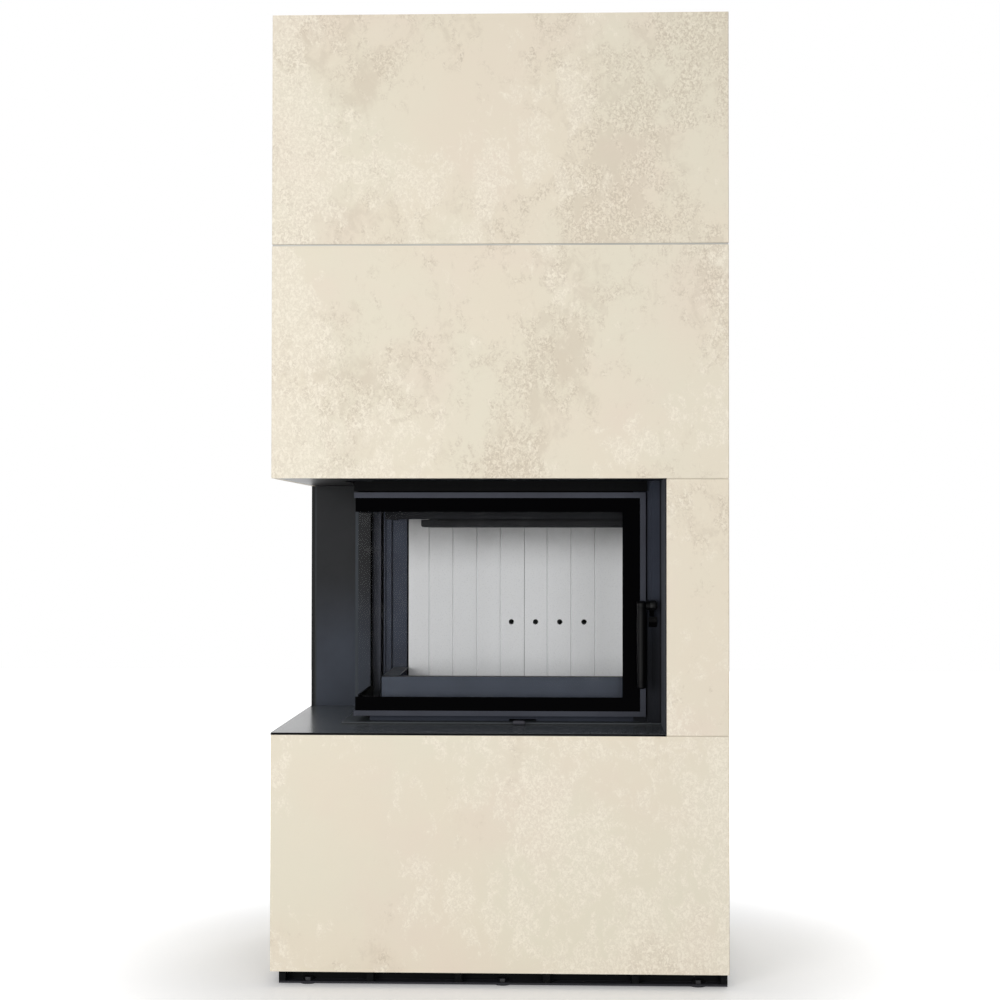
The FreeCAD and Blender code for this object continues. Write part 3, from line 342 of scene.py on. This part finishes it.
zincs = {
    "zinc": {"name": "zincSheet", "dark": "85878a", "pale": "a1a3a6", "rough": 0.5},
    "bolt": {"name": "boltSteel", "dark": "8b8c8e", "pale": "b0b1b3", "rough": 0.32},
    "footBolt": {"name": "footBolt", "dark": "2c2c2e", "pale": "454548", "rough": 0.4},
}

liningLook = {
    "board": tone("e2e3e4"), "fleck": tone("c4c5c6"), "soot": tone("6d6c6b"), "shine": 0.2, "rough": 0.86,
    "flakes": 210, "flakeBand": (0.35, 0.05), "flakeTone": 0.35, "grains": (420, 4, 0.7),
    "grainBand": (0.55, 0.75), "grainTone": 0.4, "drift": (6, 5, 0.6, 0.3), "driftGloss": 0.08,
    "smokeZ": (0.84, 0.97), "smokeDrift": 0.9, "smokeLeast": 0.2, "smoke": 0.8, "relief": (0.25, 0.0008),
}


def liningBoard():  # pressed white board, smoked towards the top, with painted shade there under the baffle
    look = liningLook
    made = Finish("liningBoard", {"Specular IOR Level": look["shine"]})
    flakes = made.place.cells(look["flakes"])
    grains = made.place.speck(*look["grains"])
    drift = made.place.speck(*look["drift"])
    fleck = flakes.band(*look["flakeBand"]) * look["flakeTone"]
    fleck = fleck + grains.band(*look["grainBand"]) * look["grainTone"]
    # soot and painted shade: darker towards the top, under the baffle
    smoke = made.place.axes()[2].band(*look["smokeZ"]) * (drift * look["smokeDrift"] + look["smokeLeast"])
    base = (smoke * look["smoke"]).mix(fleck.mix(look["board"], look["fleck"]), look["soot"])
    return made.feed(
        colour=base, rough=drift * look["driftGloss"] + (look["rough"] - look["driftGloss"] / 2),
        normal=(flakes * 0.5 + grains * 0.5).bump(*look["relief"]),
    )


sootLook = {
    "dark": tone("1b1c1e"), "pale": tone("2d2e30"), "shine": 0.15, "rough": 0.84, "grains": (380, 4, 0.7),
    "grainBand": (0.4, 0.75), "grainTone": 0.4, "drift": (11, 5, 0.6, 0.4), "driftTone": 0.5,
    "grainGloss": 0.1, "relief": (0.3, 0.0008),
}


def sootBoard():
    look = sootLook
    made = Finish("sootBoard", {"Specular IOR Level": look["shine"]})
    grains = made.place.speck(*look["grains"])
    drift = made.place.speck(*look["drift"])
    base = grains.band(*look["grainBand"]) * look["grainTone"] + drift * look["driftTone"]
    rough = grains * look["grainGloss"] + look["rough"]
    return made.feed(colour=base.mix(look["dark"], look["pale"]), rough=rough,
                     normal=grains.bump(*look["relief"]))


glassLook = {
    # joint is the tone of a painted highlight on the corner where the panes meet
    "print": tone("020203"), "joint": tone("43474c"), "shine": tone("f4f8f7"), "printRough": 0.08,
    "printShine": 0.012,
    "low": 0.582, "high": 0.985, "right": 0.261, "rear": 0.195,  # inner edges of the border
    "waver": (40, 2, 0.5), "waverDepth": 0.0004, "cornerHighlightX": -0.3148, "cornerHighlightY": -0.1240, "cornerHighlightCover": 0.85,
    "dust": (25, 5, 0.65), "dustBand": (0.5, 0.8), "dustMost": 0.012, "bend": 1.15, "glint": 0.6,
    "glintMost": 0.10, "shineRough": 0.12, "innerX": -0.3190, "innerY": -0.1270,
}


def glassPane():  # clear pane, its fired black border set by the door's own measures
    look = glassLook
    made = Finish("glassPane", {"Base Color": look["print"], "Roughness": look["printRough"],
                                "Specular IOR Level": look["printShine"]})
    node = made.place.node
    x, y, z = made.place.axes()
    waver = made.place.speck(*look["waver"]) * look["waverDepth"]
    edgeX, edgeY, edgeZ = x + waver, y + waver, z + waver
    border = (edgeZ < look["low"]).most(edgeZ > look["high"])
    border = border.most(edgeX > look["right"]).most(edgeY > look["rear"])
    joint = (x < look["cornerHighlightX"]) * (y < look["cornerHighlightY"]) * (1 - border)  # painted highlight: a grey strip on the corner where the panes meet
    made.feed(colour=joint.mix(look["print"], look["joint"]))
    dust = made.place.speck(*look["dust"]).band(*look["dustBand"]) * look["dustMost"]
    glint = node("ShaderNodeFresnel", None, {"IOR": look["bend"]}) * look["glint"]
    back = node("ShaderNodeNewGeometry", None, None, "Backfacing")
    inner = (x > look["innerX"]) * (y > look["innerY"])  # no glint on the side pane's inner face
    mirror = (glint.least(look["glintMost"]) + dust) * (1 - back) * (1 - inner)
    clear = node("ShaderNodeBsdfTransparent")
    shine = node("ShaderNodeBsdfGlossy", None, {"Color": look["shine"], "Roughness": look["shineRough"]})
    pane = node("ShaderNodeMixShader", None, {0: mirror, 1: clear, 2: shine})
    cover = border + joint * look["cornerHighlightCover"]
    both = node("ShaderNodeMixShader", None, {0: cover, 1: pane, 2: Wire(made.shader.outputs[0])})
    made.tree.links.new(both.socket, made.tree.nodes["Material Output"].inputs["Surface"])
    return made.material


fibreLook = {
    "dark": tone("17171a"), "pale": tone("3c3c40"), "shine": 0.2, "rough": 0.8, "hair": (900, 4, 0.7),
    "hairTone": 0.6, "hairGloss": 0.1, "drift": (30, 4, 0.6), "relief": (0.4, 0.0006),
}


def ropeFibre():
    look = fibreLook
    made = Finish("ropeFibre", {"Specular IOR Level": look["shine"]})
    hair = made.place.speck(*look["hair"])
    base = hair * look["hairTone"] + made.place.speck(*look["drift"]) * (1 - look["hairTone"])
    rough = hair * look["hairGloss"] + look["rough"]
    return made.feed(colour=base.mix(look["dark"], look["pale"]), rough=rough,
                     normal=hair.bump(*look["relief"]))


finishes = {
    "slab": slabStone(), "lining": liningBoard(), "soot": sootBoard(), "glass": glassPane(),
    "rope": ropeFibre(), "ledge": ledgeSheet(),
}
finishes.update({key: paint(**look) for key, look in paints.items()})
finishes.update({key: zinc(**look) for key, look in zincs.items()})
wears = {
    "slab": [n for n in nodes if "_panel_" in n and not n.startswith("niche")],
    "casing": ["niche_rear_panel"],
    "jamb": ["right_jamb"],
    "trimPost": ["niche_corner_trim"],
    "ledge": ["ledge"],
    "plate": ["insert_base_plate"],
    "soffit": ["soffit"],
    "shadedTopFrame": ["insert_frame_top"],
    "plinth": ["plinth_frame"],
    "knob": ["air_knob"],
    "hearth": ["log_bar_front"],
    "sideBar": ["log_bar_left"],
    "insert": ["insert_frame_bottom", "rear_left_post"],
    "shadedFrameRight": ["insert_frame_right"],
    "door": ["door_bottom_rail", "door_top_rail", "door_right_stile", "door_rear_stile"],
    "black": ["handle_bracket", "handle_grip", "handle_shaft", "latch_cam", "latch_keeper", "air_slide"],
    "heat": ["air_guide", "firebox_rear_wall", "firebox_right_wall", "firebox_upper_walls", "hearth_tray",
             "smoke_hood", "flue_pipe", "air_box", "insert_stand"],
    "zinc": ["rear_sheet", "top_plate", "lower_frame", "upper_frame", "middle_posts"],
    "bolt": ["hinge_pins", "top_plate_screws"],
    "footBolt": ["levelling_feet"],
    "lining": ["floor_lining", "rear_lining_left", "rear_lining_right", "right_lining"],
    "soot": ["baffle"],
    "glass": ["front_glass", "side_glass"],
    "rope": ["door_seal"],
}


def dress(mesh, finish):
    mesh.materials.clear()
    mesh.materials.append(finishes[finish])


for finish, names in wears.items():
    for name in names:
        dress(nodes[name].data, finish)
print("finishes on", sum(len(names) for names in wears.values()), "nodes")


def addPiece(name, mesh, finish, body, stands):
    piece = bpy.data.objects.new(name, mesh)
    scene.collection.objects.link(piece)
    dress(mesh, finish)
    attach(piece, body)
    if stands:
        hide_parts(*stands)


def closeMesh(name, bm, smooth=35):  # merged, turned outwards, sharp where it bends by more than smooth
    bmesh.ops.remove_doubles(bm, verts=bm.verts, dist=1e-6)
    bmesh.ops.recalc_face_normals(bm, faces=bm.faces)
    for face in bm.faces:
        face.smooth = True
    for edge in bm.edges:
        if edge.is_manifold and edge.calc_face_angle(0) > math.radians(smooth):
            edge.smooth = False
    mesh = bpy.data.meshes.new(name)
    bm.to_mesh(mesh)
    bm.free()
    return mesh


def loft(rings, bm=None):  # skins a row of outlines and closes its ends; a ring of one point is a pole
    bm = bmesh.new() if bm is None else bm
    rows = [[bm.verts.new(at) for at in ring] for ring in rings]
    for low, high in zip(rows, rows[1:]):
        around = max(len(low), len(high))
        for k in range(around):
            n = (k + 1) % around
            corners = [low[k % len(low)], low[n % len(low)], high[n % len(high)], high[k % len(high)]]
            bm.faces.new(list(dict.fromkeys(corners)))
    for end in (rows[0][::-1], rows[-1]):
        if len(end) > 1:
            bm.faces.new(end)
    return bm


def turned(profile, around):  # rings of a turned shape on the upright axis, profile as (radius, height)
    spokes = [math.tau * k / around for k in range(around)]
    rings = []
    for r, h in profile:
        rings.append([(r * math.cos(a), r * math.sin(a), h) for a in spokes] if r else [(0, 0, h)])
    return rings


def soften(bm, edges, size):
    bmesh.ops.bevel(bm, geom=edges, offset=size, segments=2, affect="EDGES", profile=0.5)


cornerSteps = 6
quarter = [math.pi / 2 * k / cornerSteps for k in range(cornerSteps + 1)]  # angles of a rounded corner

gripLook = {"at": (0.300, -0.180, 0.605), "tall": 0.186, "radius": 0.0099, "round": 0.004, "around": 40,
            "lines": (0.012, 0.016), "lineHalf": 0.0006, "lineDeep": 0.0005}


def buildGrip():
    g = gripLook
    r, e = g["radius"], g["round"]
    end = [(0, 0)] + [(r - e + e * math.sin(a), e - e * math.cos(a)) for a in quarter]
    for h in g["lines"]:  # fine turned lines near both ends
        end += [(r, h - g["lineHalf"]), (r - g["lineDeep"], h), (r, h + g["lineHalf"])]
    top = [(radius, g["tall"] - h) for radius, h in reversed(end)]
    bm = loft(turned(end + top, g["around"]))
    bmesh.ops.translate(bm, verts=bm.verts, vec=g["at"])
    addPiece("grip", closeMesh("grip", bm), "black", "handle", ["handle_grip"])


buildGrip()
print("grip made")

hubLook = {
    "at": (0.3105, -0.157, 0.783), "around": 40,
    "cuts": [(0, 0), (0.0095, 0), (0.0105, 0.0004), (0.0110, 0.0014), (0.0110, 0.0085), (0.0104, 0.0090),
             (0.0104, 0.0098), (0.0110, 0.0103), (0.0110, 0.0195), (0.0104, 0.0218), (0.0088, 0.0232),
             (0.0060, 0.0240), (0.0040, 0.0240), (0.0032, 0.0222), (0, 0.0222)],  # radius, run
}


def buildHub():  # round hub over the shaft's end, with a turned line and a dished face
    bm = loft(turned(hubLook["cuts"], hubLook["around"]))
    bmesh.ops.rotate(bm, verts=bm.verts, cent=(0, 0, 0), matrix=Matrix.Rotation(math.pi / 2, 3, "Y"))
    bmesh.ops.translate(bm, verts=bm.verts, vec=hubLook["at"])
    addPiece("pivot_hub", closeMesh("pivot_hub", bm), "hub", "handle", ())


buildHub()
print("hub made")

knobLook = {
    "x": 0.037, "z": 0.5295, "back": -0.150, "round": 0.46, "around": 32, "smooth": 50,
    "cuts": [  # run, width, height
        (0.0, 0.0170, 0.0050), (0.0022, 0.0172, 0.0050), (0.0040, 0.0190, 0.0060),
        (0.0058, 0.0240, 0.0080), (0.0074, 0.0268, 0.0089), (0.0098, 0.0270, 0.0090),
        (0.0116, 0.0262, 0.0084), (0.0126, 0.0240, 0.0068), (0.0130, 0.0190, 0.0036),
    ],
}


def buildKnob():  # a pull knob with a finger groove behind its rounded face
    k = knobLook
    circle = turned([(1, 0)], k["around"])[0]
    blunt = [[math.copysign(abs(c) ** k["round"], c) / 2 for c in point[:2]] for point in circle]
    rings = [[(k["x"] + u * wide, k["back"] - run, k["z"] + v * tall) for u, v in blunt]
             for run, wide, tall in k["cuts"]]
    mesh = closeMesh("pull_knob", loft(rings), k["smooth"])
    addPiece("pull_knob", mesh, "knob", "air_control", ["air_knob"])


buildKnob()
print("knob made")

capLook = {"left": -0.2669, "front": -0.0899, "rear": -0.0572, "low": 0.5724, "high": 0.6226,
           "sheet": 0.0015, "lap": 0.022, "round": 0.0007}


def buildBarCap():  # folded cap that closes the front log bar at the glass corner
    c = capLook
    left, rear, lap = c["left"], c["rear"], c["left"] + c["lap"]
    front, inLeft, inRear = c["front"] + c["sheet"], left + c["sheet"], rear - c["sheet"]
    plan = [(left, front), (inLeft, front), (inLeft, inRear), (lap, inRear), (lap, rear), (left, rear)]
    bm = loft([[(*at, height) for at in plan] for height in (c["low"], c["high"])])
    soften(bm, bm.edges[:], c["round"])
    addPiece("log_bar_cap", closeMesh("log_bar_cap", bm), "sideBar", "casing", ())


buildBarCap()
print("log bar cap made")

nosingLook = {"left": -0.1872, "low": 0.9518, "high": 0.9688, "round": 0.005, "heel": -0.174, "lap": 0.0016,
              "top": 0.9668, "tongue": -0.150, "front": -0.0033, "rear": 0.2165}


def buildNosing():  # squares the baffle's left end, with a rounded lower corner
    n = nosingLook
    r, inner = n["round"], n["left"] + n["lap"]
    section = [(n["left"], n["high"])]
    section += [(n["left"] + r - r * math.cos(a), n["low"] + r - r * math.sin(a)) for a in quarter]
    section += [(n["heel"], n["low"]), (n["heel"], n["low"] + n["lap"]), (inner, n["top"] - n["lap"]),
                (inner, n["top"]), (n["tongue"], n["top"]), (n["tongue"], n["high"])]
    bm = loft([[(x, y, z) for x, z in section] for y in (n["front"], n["rear"])])
    addPiece("baffle_nosing", closeMesh("baffle_nosing", bm), "soot", "casing", ())


buildNosing()
print("baffle nosing made")

jointLook = {
    "left": -0.475, "right": 0.475, "front": -0.335, "rear": 0.334, "round": 0.0003, "sharp": 1,
    "strips": {  # start is the end beside the opening, where the joint doesn't run round the left side
        "joint_trim": {"low": 1.5362, "high": 1.5398, "inset": 0.0012, "depth": 0.006,
                       "finish": "trim", "slot": "bare_steel"},
        "joint_fill_low": {"low": 0.5192, "high": 0.5208, "inset": 0.0009, "depth": 0.005,
                           "finish": "grout", "slot": "slab", "start": 0.346},
        "joint_fill_high": {"low": 1.0502, "high": 1.0518, "inset": 0.0009, "depth": 0.005,
                            "finish": "grout", "slot": "slab", "start": 0.346},
    },
}


def buildStrip(name, low, high, inset, depth, finish, slot, start=None):  # bent, let into a slab joint
    j = jointLook
    left, right, front, rear = j["left"] + inset, j["right"] - inset, j["front"] + inset, j["rear"]
    outer = [(right, front), (right, rear)]
    inner = [(right - depth, front + depth), (right - depth, rear)]
    if start is None:
        outer = [(left, rear), (left, front)] + outer
        inner = [(left + depth, rear), (left + depth, front + depth)] + inner
    else:
        outer = [(start, front)] + outer
        inner = [(start, front + depth)] + inner
    bm = loft([[(*o, low), (*i, low), (*i, high), (*o, high)] for o, i in zip(outer, inner)])
    bmesh.ops.recalc_face_normals(bm, faces=bm.faces)
    soften(bm, [e for e in bm.edges if e.calc_face_angle(0) > j["sharp"]], j["round"])
    addPiece(name, closeMesh(name, bm), finish, "casing", ())


for name, strip in jointLook["strips"].items():
    buildStrip(name, **strip)
print("joint strips made")


def newTree(name, look, titles):  # a node tree with named inputs, their values from the piece's dictionary
    tree = bpy.data.node_groups.new(name, "GeometryNodeTree")
    tree.interface.new_socket("Geometry", in_out="INPUT", socket_type="NodeSocketGeometry")
    tree.interface.new_socket("Geometry", in_out="OUTPUT", socket_type="NodeSocketGeometry")
    for title in titles:
        kind = "NodeSocketInt" if isinstance(look[title], int) else "NodeSocketFloat"
        tree.interface.new_socket(title, in_out="INPUT", socket_type=kind).default_value = look[title]
    start = tree.nodes.new("NodeGroupInput")
    tree.nodes.new("NodeGroupOutput")
    return tree, {o.name: Wire(o) for o in start.outputs if o.name}


def closeTree(tree, shape, finish):
    whole = shape.node("GeometryNodeRealizeInstances", None, {0: shape})
    dressed = whole.node("GeometryNodeSetMaterial", None, {0: whole, "Material": finishes[finish]})
    end = next(n for n in tree.nodes if n.type == "GROUP_OUTPUT")
    tree.links.new(dressed.socket, end.inputs[0])


def bakeTree(name, source, tree, look):  # runs the tree on a source object and keeps the plain mesh
    holder = bpy.data.objects.new(name + "_maker", source)
    scene.collection.objects.link(holder)
    modifier = holder.modifiers.new("make", "NODES")
    modifier.node_group = tree
    for item in tree.interface.items_tree:
        if item.item_type == "SOCKET" and item.in_out == "INPUT" and item.name in look:
            modifier[item.identifier] = look[item.name]
    graph = bpy.context.evaluated_depsgraph_get()
    mesh = bpy.data.meshes.new_from_object(holder.evaluated_get(graph))
    mesh.name = name
    holder.modifiers.remove(modifier)
    bpy.data.objects.remove(holder)
    return mesh


ropeLook = {
    "path": [(0.303, -0.107, 0.549), (-0.296, -0.107, 0.549), (-0.296, 0.245, 0.549),
             (-0.296, 0.245, 1.019), (-0.296, -0.107, 1.019), (0.303, -0.107, 1.019)],
    "Strand": 0.0022, "Lay": 0.0017, "Pitch": 0.020, "Step": 0.0024, "Corner": 0.007,
    "strands": 3, "bends": 6, "facets": 7,
}


def buildRope():  # twisted strands round the door's frame
    look = ropeLook
    tree, given = newTree("twistedRope", look, ("Strand", "Lay", "Pitch", "Step", "Corner"))
    node = given["Geometry"].node
    path = node("GeometryNodeFilletCurve", {"mode": "POLY"},
                {"Curve": given["Geometry"], "Radius": given["Corner"], "Count": look["bends"]})
    path = node("GeometryNodeResampleCurve", {"mode": "LENGTH"}, {"Curve": path, "Length": given["Step"]})
    along = node("GeometryNodeSplineParameter", None, None, "Length") / given["Pitch"] * math.tau
    normal = node("GeometryNodeInputNormal")
    tangent = node("GeometryNodeInputTangent")
    across = node("ShaderNodeVectorMath", {"operation": "CROSS_PRODUCT"}, {0: normal, 1: tangent})
    section = node("GeometryNodeCurvePrimitiveCircle", None,
                   {"Resolution": look["facets"], "Radius": given["Strand"]})
    joined = tree.nodes.new("GeometryNodeJoinGeometry")
    for k in range(look["strands"]):
        turn = along + math.tau * k / look["strands"]
        out = normal.scaled(turn.calc("COSINE", turn) * given["Lay"])
        side = across.scaled(turn.calc("SINE", turn) * given["Lay"])
        moved = node("GeometryNodeSetPosition", None, {"Geometry": path, "Offset": out.add(side)})
        strand = node("GeometryNodeCurveToMesh", None, {"Curve": moved, "Profile Curve": section})
        tree.links.new(strand.socket, joined.inputs[0])
    closeTree(tree, Wire(joined.outputs[0]), "rope")
    line = bpy.data.curves.new("ropeLine", "CURVE")
    line.dimensions = "3D"
    run = line.splines.new("POLY")
    run.points.add(len(look["path"]) - 1)
    for point, place in zip(run.points, look["path"]):
        point.co = (*place, 1)
    run.use_cyclic_u = True
    mesh = bakeTree("rope_seal", line, tree, look)
    for face in mesh.polygons:
        face.use_smooth = True
    addPiece("rope_seal", mesh, "rope", "door", ["door_seal"])


buildRope()
print("rope seal laid")

screwLook = {
    "Across": 0.8334, "Deep": 0.632, "Count": 4, "Rows": 2, "Turn": 0.5, "Seed": 7,
    "at": (0, 0.0055, 2.008),
    "flange": 0.00495, "rim": 0.0005, "thick": 0.0008, "slope": 0.0004, "around": 24,
    "hex": 0.0040, "sunk": 0.0006, "tall": 0.0025, "chamfer": 0.0005, "crown": 0.82,
}


def screwHead():  # hexagon head on a round flange, with a chamfered crown
    s = screwLook
    flange = [(0, 0), (s["flange"], 0), (s["flange"], s["rim"]), (s["flange"] - s["slope"], s["thick"]),
              (0, s["thick"])]
    crown = [(s["hex"], s["sunk"]), (s["hex"], s["tall"] - s["chamfer"]),
             (s["hex"] * s["crown"], s["tall"])]
    bm = loft(turned(flange, s["around"]))
    return closeMesh("screwHead", loft(turned(crown, 6), bm))


def buildScrews():
    look = screwLook
    tree, given = newTree("screwRows", look, ("Across", "Deep", "Count", "Rows", "Turn", "Seed"))
    head = given["Geometry"]
    grid = head.node("GeometryNodeMeshGrid", None, {
        "Size X": given["Across"], "Size Y": given["Deep"], "Vertices X": given["Count"],
        "Vertices Y": given["Rows"]})
    rows = head.node("GeometryNodeTransform", None, {"Geometry": grid, "Translation": look["at"]})
    spin = head.node("FunctionNodeRandomValue", {"data_type": "FLOAT"},
                     {3: given["Turn"], "Seed": given["Seed"]}, 1)
    turn = head.node("ShaderNodeCombineXYZ", None, {2: spin})
    heads = head.node("GeometryNodeInstanceOnPoints", None,
                      {"Points": rows, "Instance": head, "Rotation": turn})
    closeTree(tree, heads, "bolt")
    mesh = bakeTree("top_screws", screwHead(), tree, look)
    addPiece("top_screws", mesh, "bolt", "casing", ["top_plate_screws"])


buildScrews()
print("screws set")

viewLook = {"at": (0.1410, -4.3393, 0.9337), "tilt": 91.046, "roll": -0.05, "turn": 1.993, "lens": 69.61,
            "sensor": 36}


def setCamera():
    camera = bpy.data.cameras.new("camera")
    camera.lens = viewLook["lens"]
    camera.sensor_width = viewLook["sensor"]
    eye = bpy.data.objects.new("camera", camera)
    eye.location = viewLook["at"]
    eye.rotation_euler = [math.radians(viewLook[k]) for k in ("tilt", "roll", "turn")]
    scene.collection.objects.link(eye)
    scene.camera = eye


lampLook = {
    "key": {"at": (-2.7, -4.9, 1.2), "aim": (0, -0.2, 1.0), "size": 2.2, "power": 126,
            "tint": (1, 0.995, 0.985)},
    "fill": {"at": (1.7, -5.0, 1.0), "aim": (0, -0.1, 0.9), "size": 1.8, "power": 46,
             "tint": (0.985, 0.99, 1)},
    "back": {"at": (0.6, 4.2, 3.0), "aim": (0, 0.3, 1.0), "size": 3.0, "power": 80, "tint": (1, 1, 1)},
}


def setLamps():
    for name, look in lampLook.items():
        lamp = bpy.data.lights.new(name, "AREA")
        lamp.size = look["size"]
        lamp.energy = look["power"]
        lamp.color = look["tint"]
        holder = bpy.data.objects.new(name, lamp)
        holder.location = look["at"]
        holder.rotation_euler = (Vector(look["aim"]) - holder.location).to_track_quat("-Z", "Y").to_euler()
        scene.collection.objects.link(holder)


def seenRay(tree):  # 1 where the background is looked at, directly or in metal and glass
    path = tree.nodes.new("ShaderNodeLightPath").outputs
    kinds = ("Is Camera Ray", "Is Glossy Ray", "Is Transmission Ray")
    direct, glossy, through = [Wire(path[kind]) for kind in kinds]
    return direct.most(glossy).most(through)


worldLook = {"tone": (1, 1, 1, 1), "soft": 0.36}


def setWorld():  # white to look at, softer as a light
    world = bpy.data.worlds.new("studio")
    scene.world = world
    world.use_nodes = True
    tree = world.node_tree
    strength = seenRay(tree) * (1 - worldLook["soft"]) + worldLook["soft"]
    shell = tree.nodes["Background"]
    shell.inputs["Color"].default_value = worldLook["tone"]
    tree.links.new(strength.socket, shell.inputs["Strength"])


floorLook = {"tone": tone("f4f4f4"), "rough": 0.9, "shine": 0.1, "size": 9, "shadeFade": (0.45, 1.5),
             "glow": 0.2}


def layFloor():  # white further out, a soft shadow at the plinth
    look = floorLook
    bm = bmesh.new()
    bmesh.ops.create_grid(bm, x_segments=2, y_segments=2, size=look["size"])
    mesh = bpy.data.meshes.new("floor")
    bm.to_mesh(mesh)
    bm.free()
    floor = bpy.data.objects.new("floor", mesh)
    scene.collection.objects.link(floor)
    ground = Finish("paleFloor", {"Base Color": look["tone"], "Roughness": look["rough"],
                                  "Specular IOR Level": look["shine"], "Emission Strength": 1})
    away = ground.place.node("ShaderNodeVectorMath", {"operation": "LENGTH"}, {0: ground.place}, 1)
    glow = seenRay(ground.tree) * (away.band(*look["shadeFade"]) * (1 - look["glow"]) + look["glow"])
    ground.tree.links.new(glow.socket, ground.shader.inputs["Emission Color"])
    mesh.materials.append(ground.material)


setCamera()
setLamps()
setWorld()
layFloor()
print("stage set")
